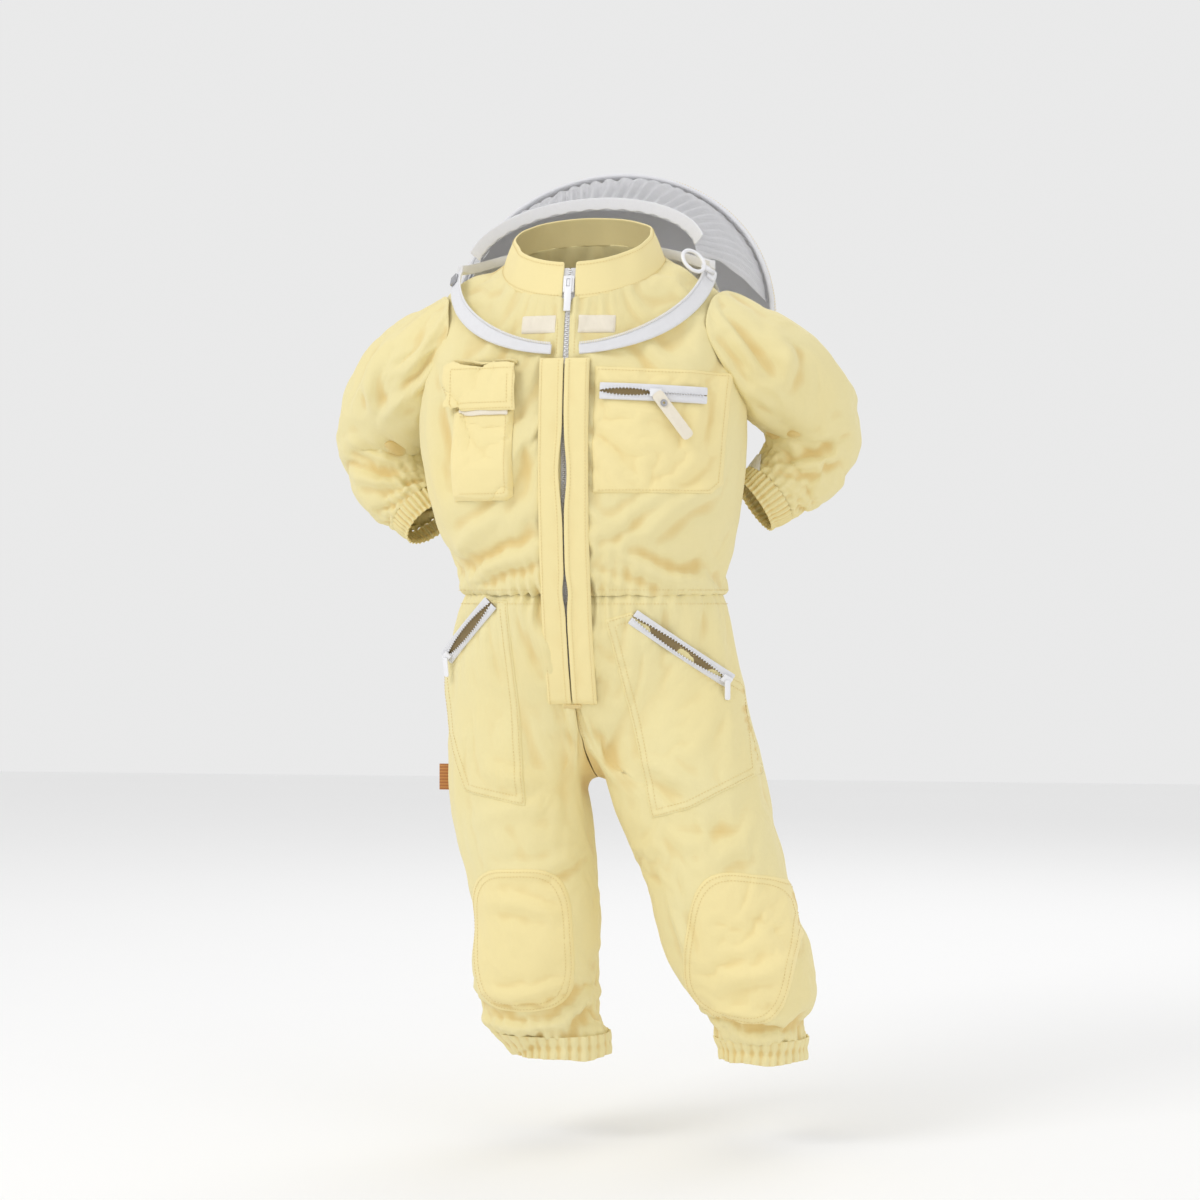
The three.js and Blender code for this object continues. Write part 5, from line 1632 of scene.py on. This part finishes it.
class SUIT_OT_neck_zip(bpy.types.Operator):
    """Half of the zip that joins the hood, round the neck, with its sliders and ring pull"""

    bl_idname = "suit.neck_zip"
    bl_label = "Neck zip"
    bl_options = {"REGISTER", "UNDO"}

    def execute(self, context):
        for mirror, side in ((-1, "right"), (1, "left")):
            def place(u, v, mirror=mirror):
                angle = math.radians(-2 + 86 * v)
                width = neck_half_width(v)
                ripple = 0.0006 * wander((mirror, 8 * v, u), 0.4, 91)
                edge = -0.0012 * float(smooth(0.84, 1, abs(2 * u - 1)))
                return neck_place(angle, mirror, 0.0032 + ripple + edge, width * (2 * u - 1))[0]

            made = surface(8, 110, (0.017, 0.197), place)
            tape = as_object(made, f"neck_tape_{side}", outwards=False)
            towards_front(tape, (0, -0.6, 0.8))
            finish(tape, "suit", "white", (f"neck_zip_tape_{side}",), thick=0.0026)
            slot, material = ("white_plastic", "plastic") if side == "left" else ("steel", "steel")
            slider = f"neck_slider_{side}"
            softened(f"neck_runner_{side}", f"neck_zip_slider_{side}", slider, material, 0.0006)
        softened("nape_tape", "neck_zip_tape_back", "suit", "white", 0.0006)
        self.teeth()
        self.ring()
        return {"FINISHED"}

    def teeth(self):
        made = bmesh.new()
        for mirror in (-1, 1):
            count = 108
            for i in range(6, count):
                angle = math.radians(-2 + 86 * i / count)
                width = neck_half_width(i / count)
                spot, normal = neck_place(angle, mirror, 0.0033, -width - 0.0002)
                ahead, _ = neck_place(angle + 0.01, mirror, 0.0033, -width - 0.0002)
                along = unit(ahead - spot)
                across = np.cross(normal, along)
                turn = Matrix((Vector(across), Vector(along), Vector(np.cross(across, along)))).transposed()
                size = Matrix.Diagonal((0.0028, 0.0012, 0.0016, 1))
                matrix = Matrix.Translation(Vector(spot)) @ turn.to_4x4() @ size
                bmesh.ops.create_icosphere(made, subdivisions=1, radius=0.62, matrix=matrix)
        finish(as_object(made, "neck_teeth"), "suit", "plastic", levels=0)

    def ring(self):
        """The ring on its link: a circle spun about the ring's own middle."""
        points = cad_points("ring_pull")
        middle = points.mean(0)
        _, _, turns = np.linalg.svd(points - middle, full_matrices=False)
        normal, along = turns[2], turns[0]
        reach = (points - middle) @ along
        hinge = np.array(joint("neck_ring_flip")["pos_m"])
        if (hinge - middle) @ along > 0:
            along = -along
            reach = -reach
        offset = float(np.median((points - middle) @ normal))
        centre = middle + along * (reach.max() - 0.015) + normal * offset
        made = bmesh.new()
        start = Vector(centre + along * 0.013)
        turn = Matrix((Vector(along), Vector(normal), Vector(np.cross(along, normal)))).transposed().to_4x4()
        circle = bmesh.ops.create_circle(
            made, segments=14, radius=0.002,
            matrix=Matrix.Translation(start) @ turn,
        )
        edges = list({e for v in circle["verts"] for e in v.link_edges})
        bmesh.ops.spin(
            made, geom=circle["verts"] + edges, cent=Vector(centre), axis=Vector(normal),
            angle=2 * math.pi, steps=64, use_merge=True, use_duplicate=False,
        )
        link = Matrix.Translation(Vector((hinge + centre - along * 0.011) / 2)) @ turn
        length = float(np.linalg.norm(centre - along * 0.011 - hinge)) + 0.002
        bmesh.ops.create_cube(made, size=1.0, matrix=link @ Matrix.Diagonal((length, 0.0026, 0.0048, 1)))
        ring = as_object(made, "neck_ring_piece")
        finish(ring, "neck_ring", "plastic", ("ring_pull",), levels=0)


HOOD_POINTS = cad_points("hood_rim")
HOOD_AXIS = np.array([0.0, math.sin(math.radians(110)), math.cos(math.radians(110))])
HOOD_UP = np.array([0.0, -HOOD_AXIS[2], HOOD_AXIS[1]])
HOOD_CENTRE = HOOD_POINTS.mean(0)
HOOP_RADIUS = 0.176
HEM_CENTRE = np.array(joint("veil_open")["pos_m"])
HEM_RADIUS = 0.1194
HEM_RISE = math.radians(35)


def rim_place(angle, radius, along):
    """A place by the hood's rim, from the wearer's left over the top."""
    out = np.array([math.cos(angle), 0, 0]) + math.sin(angle) * HOOD_UP
    return HOOD_CENTRE + out * radius + HOOD_AXIS * along


def hem_place(share, across):
    angle = math.pi * share
    forward = np.array([0, math.cos(HEM_RISE), math.sin(HEM_RISE)])
    axis = np.array([0, math.sin(HEM_RISE), -math.cos(HEM_RISE)])
    out = math.cos(angle) * np.array([1.0, 0, 0]) + math.sin(angle) * forward
    return HEM_CENTRE + out * HEM_RADIUS + unit(out - axis) * across


def nape_place(share, across):
    angle = math.pi * share
    rise = math.sin(angle)
    return np.array([0.133 * math.cos(angle), 0.072 * rise, 0.002 + 0.03 * rise**2 + across])


class SUIT_OT_hood(bpy.types.Operator):
    """The hood's crown and its stiffened rim"""

    bl_idname = "suit.hood"
    bl_label = "Hood"
    bl_options = {"REGISTER", "UNDO"}

    def execute(self, context):
        def crown(u, v):
            angle = 2 * math.pi * u
            turn = 0.5 * math.pi * v
            reach = max(math.cos(turn), 0.0) ** 0.8
            height = 0.010 + 0.092 * math.sin(turn)
            wrinkle = wander(rim_place(angle, HOOP_RADIUS * reach, height), 0.055, 101)
            gathers = 0.0012 * math.cos(40 * angle + 4 * wrinkle) * math.exp(-v / 0.12)
            soft = -0.004 * abs(wrinkle) * float(smooth(0.05, 0.3, v))
            return rim_place(angle, (HOOP_RADIUS - 0.001) * reach + gathers, height + soft)

        made = surface(220, 40, (1.1, 0.25), crown)
        piece = as_object(made, "hood_crown_cloth", weld=1e-5)
        relax(piece, 1)
        mark_folds(piece)
        finish(piece, "hood", "veil_white", ("hood_crown",), thick=0.0009)

        made = bmesh.new()
        profile = []
        steps = 20
        for i in range(steps):
            angle = 2 * math.pi * i / steps
            c, s = math.cos(angle), math.sin(angle)
            wide = 0.003 * math.copysign(abs(c) ** 0.7, c)
            tall = 0.010 * math.copysign(abs(s) ** 0.6, s)
            profile.append(made.verts.new(rim_place(0, HOOP_RADIUS + wide, tall)))
        edges = [made.edges.new((a, b)) for a, b in zip(profile, profile[1:] + profile[:1])]
        bmesh.ops.spin(
            made, geom=profile + edges, cent=Vector(HOOD_CENTRE), axis=Vector(HOOD_AXIS),
            angle=2 * math.pi, steps=200, use_merge=True, use_duplicate=False,
        )
        layer = made.loops.layers.uv.new("cloth")
        for face in made.faces:
            for loop in face.loops:
                away = np.array(loop.vert.co) - HOOD_CENTRE
                turn = math.atan2(away @ HOOD_UP, away[0])
                loop[layer].uv = (turn * HOOP_RADIUS, away @ HOOD_AXIS)
        rim = as_object(made, "hood_rim_casing")
        crinkle(rim, 0.0004, 0.02, 105)
        finish(rim, "hood", "white", ("hood_rim",), levels=1)
        lines = []
        for along in (-0.006, 0.006):
            spots, normals = [], []
            for i in range(241):
                angle = 2 * math.pi * i / 240
                spots.append(rim_place(angle, HOOP_RADIUS + 0.0032, along))
                normals.append(rim_place(angle, 1, 0) - HOOD_CENTRE)
            lines.append((spots, normals))
        stitched("rim_stitching", lines, "hood")
        return {"FINISHED"}


class SUIT_OT_nets(bpy.types.Operator):
    """The veil with its hem tape, and the net at the nape, gathered into their seams"""

    bl_idname = "suit.nets"
    bl_label = "Nets"
    bl_options = {"REGISTER", "UNDO"}

    def execute(self, context):
        def veil(u, v):
            share = 0.03 + 0.94 * u
            low, high = hem_place(share, -0.0076), rim_place(math.pi * share, 0.171, -0.004)
            swell = math.sin(math.pi * v)
            spot = low + (high - low) * v + (0, 0.014 * swell * math.sin(math.pi * share), 0.012 * swell)
            bend = wander(spot, 0.05, 111)
            pleat = math.sin(64 * math.pi * share + 3.2 * bend) * (1 - 0.75 * v) + 0.3 * bend
            billow = 0.006 * wander(spot, 0.09, 112) * swell
            lift = unit(np.array([0, -0.35, 0.94]))
            return spot + lift * (0.0038 * pleat * float(smooth(0, 0.08, v)) + billow)

        made = as_object(surface(330, 34, (0.78, 0.17), veil), "veil_cloth", outwards=False)
        finish(made, None, "net", ("veil_net",), thick=0.0003, levels=0)
        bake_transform(made)

        def nape(u, v):
            share = 0.1 + 0.8 * u
            low = nape_place(0.02 + 0.96 * share, 0.005) + (0, 0.008, -0.004)
            high = rim_place(-math.pi * share, 0.171, -0.004)
            swell = math.sin(math.pi * v)
            spot = low + (high - low) * v
            spot = spot + (0, 0.042 * swell * math.sin(math.pi * share), -0.008 * swell)
            bend = wander(spot, 0.05, 115)
            pleat = math.sin(32 * math.pi * share + 3 * bend) * (1 - 0.6 * v) + 0.3 * bend
            return spot + (0, 0.003 * pleat * float(smooth(0, 0.1, v)), 0)

        made = as_object(surface(300, 34, (0.66, 0.24), nape), "nape_cloth", outwards=False)
        finish(made, None, "net", ("nape_net",), thick=0.0003, levels=0)
        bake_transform(made)

        def hem(u, v):
            share = 0.09 + 0.89 * u
            ripple = 0.0007 * math.sin(38 * math.pi * share) * (1 - v)
            return hem_place(share, 0.007 * (2 * v - 1)) + (0, 0, ripple)

        tape = as_object(surface(160, 6, (0.33, 0.014), hem), "veil_tape", outwards=False)
        finish(tape, "veil", "white", ("veil_hem_tape",), thick=0.0022, levels=1, offset=0)
        return {"FINISHED"}


class SUIT_OT_trim(bpy.types.Operator):
    """Main slider and pull, bar-tack, side label and sleeve tab"""

    bl_idname = "suit.trim"
    bl_label = "Trim"
    bl_options = {"REGISTER", "UNDO"}

    def execute(self, context):
        softened("main_slider_piece", "main_zip_slider", "main_slider", "plastic", 0.0006)
        softened("main_pull_piece", "main_zip_pull", "main_pull", "plastic", 0.0004)
        softened("bar_tack", "fly_bar_tack", "suit", "thread", 0.0004)
        softened("woven_side_label", "side_label", "suit", "label", 0.0003)
        softened("sleeve_mark", "sleeve_tab", "suit", "white", 0.0003)
        return {"FINISHED"}


class SUIT_OT_seams(bpy.types.Operator):
    """Topstitching along the waist, the fly and the fork seams, front and back"""

    bl_idname = "suit.seams"
    bl_label = "Seams"
    bl_options = {"REGISTER", "UNDO"}

    def execute(self, context):
        lines = []
        for key, level in (("bodice", WAIST + 0.007), ("trousers", WAIST - 0.007)):
            tree = SKINS[key]
            spots, normals = [], []
            for i in range(181):
                out = outward(0.06 + (2 * math.pi - 0.12) * i / 180)
                start = Vector((0, 0, level)) + Vector(out) * 0.4
                hit, normal, _, _ = tree.ray_cast(start, -Vector(out))
                if hit is not None:
                    spots.append(hit + normal * 0.0003)
                    normals.append(normal)
            lines.append((spots, normals))
        trousers = SKINS["trousers"]
        fork = [(0, -446), (1, -455), (4, -470), (8, -486)]
        lines.append(flat_line(trousers, [(x + 2, z) for x, z in fork]))
        lines.append(flat_line(trousers, [(0, -350), (1, -400), (4, -450), (9, -485)], facing=1))
        for x in (-1, 1):
            lines.append(flat_line(SKINS["bodice"], [(x * 9, -60), (x * 9, -98)]))
        stitched("seam_stitching", lines, "suit")
        return {"FINISHED"}


FLOOR_LEVEL = -0.9
SKY_STRENGTH = 0.82
LAMP_AIM = Vector((0, 0, -0.35))
LAMPS = (  # name, place, watts and size
    ("key", (-1.9, -2.2, 2.1), 36, 1.4),
    ("fill", (2.4, -1.8, 0.6), 7, 2.2),
    ("back", (0.6, 2.4, 1.6), 14, 2.0),
)
CAMERA_TURN = math.radians(10)
CAMERA_LENS = 87
CAMERA_SIDE = 0.016
CAMERA_HEIGHT = -0.342
CAMERA_DISTANCE = 3.0


class SUIT_OT_stage(bpy.types.Operator):
    """Pale floor, soft lights and the camera"""

    bl_idname = "suit.stage"
    bl_label = "Stage"
    bl_options = {"REGISTER", "UNDO"}

    def execute(self, context):
        made = bmesh.new()
        bmesh.ops.create_grid(made, x_segments=2, y_segments=2, size=6)
        floor = as_object(made, "floor", outwards=False)
        floor.data.transform(Matrix.Translation((0, 0, FLOOR_LEVEL)))
        floor.data.materials.append(MATERIALS["floor"])
        world = bpy.data.worlds.new("studio")
        world.use_nodes = True
        background = world.node_tree.nodes["Background"]
        background.inputs[0].default_value = (1, 1, 1, 1)
        background.inputs[1].default_value = SKY_STRENGTH
        bpy.context.scene.world = world
        bpy.context.scene.view_settings.view_transform = "Standard"
        for name, place, watts, size in LAMPS:
            lamp = bpy.data.lights.new(name, "AREA")
            lamp.energy = watts
            lamp.size = size
            holder = bpy.data.objects.new(name, lamp)
            holder.location = place
            aim = LAMP_AIM - Vector(place)
            holder.rotation_euler = aim.to_track_quat("-Z", "Y").to_euler()
            bpy.context.scene.collection.objects.link(holder)
        self.camera()
        return {"FINISHED"}

    def camera(self):
        turn = CAMERA_TURN
        forward = Vector((-math.sin(turn), math.cos(turn), 0))
        right = Vector((math.cos(turn), math.sin(turn), 0))
        lens = bpy.data.cameras.new("camera")
        lens.lens = CAMERA_LENS
        camera = bpy.data.objects.new("camera", lens)
        camera.location = right * CAMERA_SIDE + Vector((0, 0, CAMERA_HEIGHT)) - forward * CAMERA_DISTANCE
        camera.rotation_euler = forward.to_track_quat("-Z", "Y").to_euler()
        bpy.context.scene.collection.objects.link(camera)
        bpy.context.scene.camera = camera


OPERATORS = (
    SUIT_OT_bodice,
    SUIT_OT_trousers,
    SUIT_OT_sleeves,
    SUIT_OT_hems,
    SUIT_OT_collar,
    SUIT_OT_main_zip,
    SUIT_OT_pockets,
    SUIT_OT_patches,
    SUIT_OT_pocket_zips,
    SUIT_OT_neck_zip,
    SUIT_OT_hood,
    SUIT_OT_nets,
    SUIT_OT_trim,
    SUIT_OT_seams,
    SUIT_OT_stage,
)


class SUIT_PT_build(bpy.types.Panel):
    """Lists the suit's pieces in the order in which they are built"""

    bl_label = "Beekeeping suit"
    bl_idname = "SUIT_PT_build"
    bl_space_type = "VIEW_3D"
    bl_region_type = "UI"
    bl_category = "Suit"

    def draw(self, context):
        for name in SuitLooks.__annotations__:
            self.layout.prop(context.scene.suit_looks, name)
        for operator in OPERATORS:
            self.layout.operator(operator.bl_idname)


CLASSES = (SuitLooks, *OPERATORS, SUIT_PT_build)


def register():
    for made in CLASSES:
        bpy.utils.register_class(made)
    bpy.types.Scene.suit_looks = bpy.props.PointerProperty(type=SuitLooks)


def unregister():
    del bpy.types.Scene.suit_looks
    for made in reversed(CLASSES):
        bpy.utils.unregister_class(made)


def main():
    register()
    make_materials(bpy.context.scene.suit_looks)
    for operator in OPERATORS:
        group, name = operator.bl_idname.split(".")
        getattr(getattr(bpy.ops, group), name)()


if __name__ == "__main__":
    main()
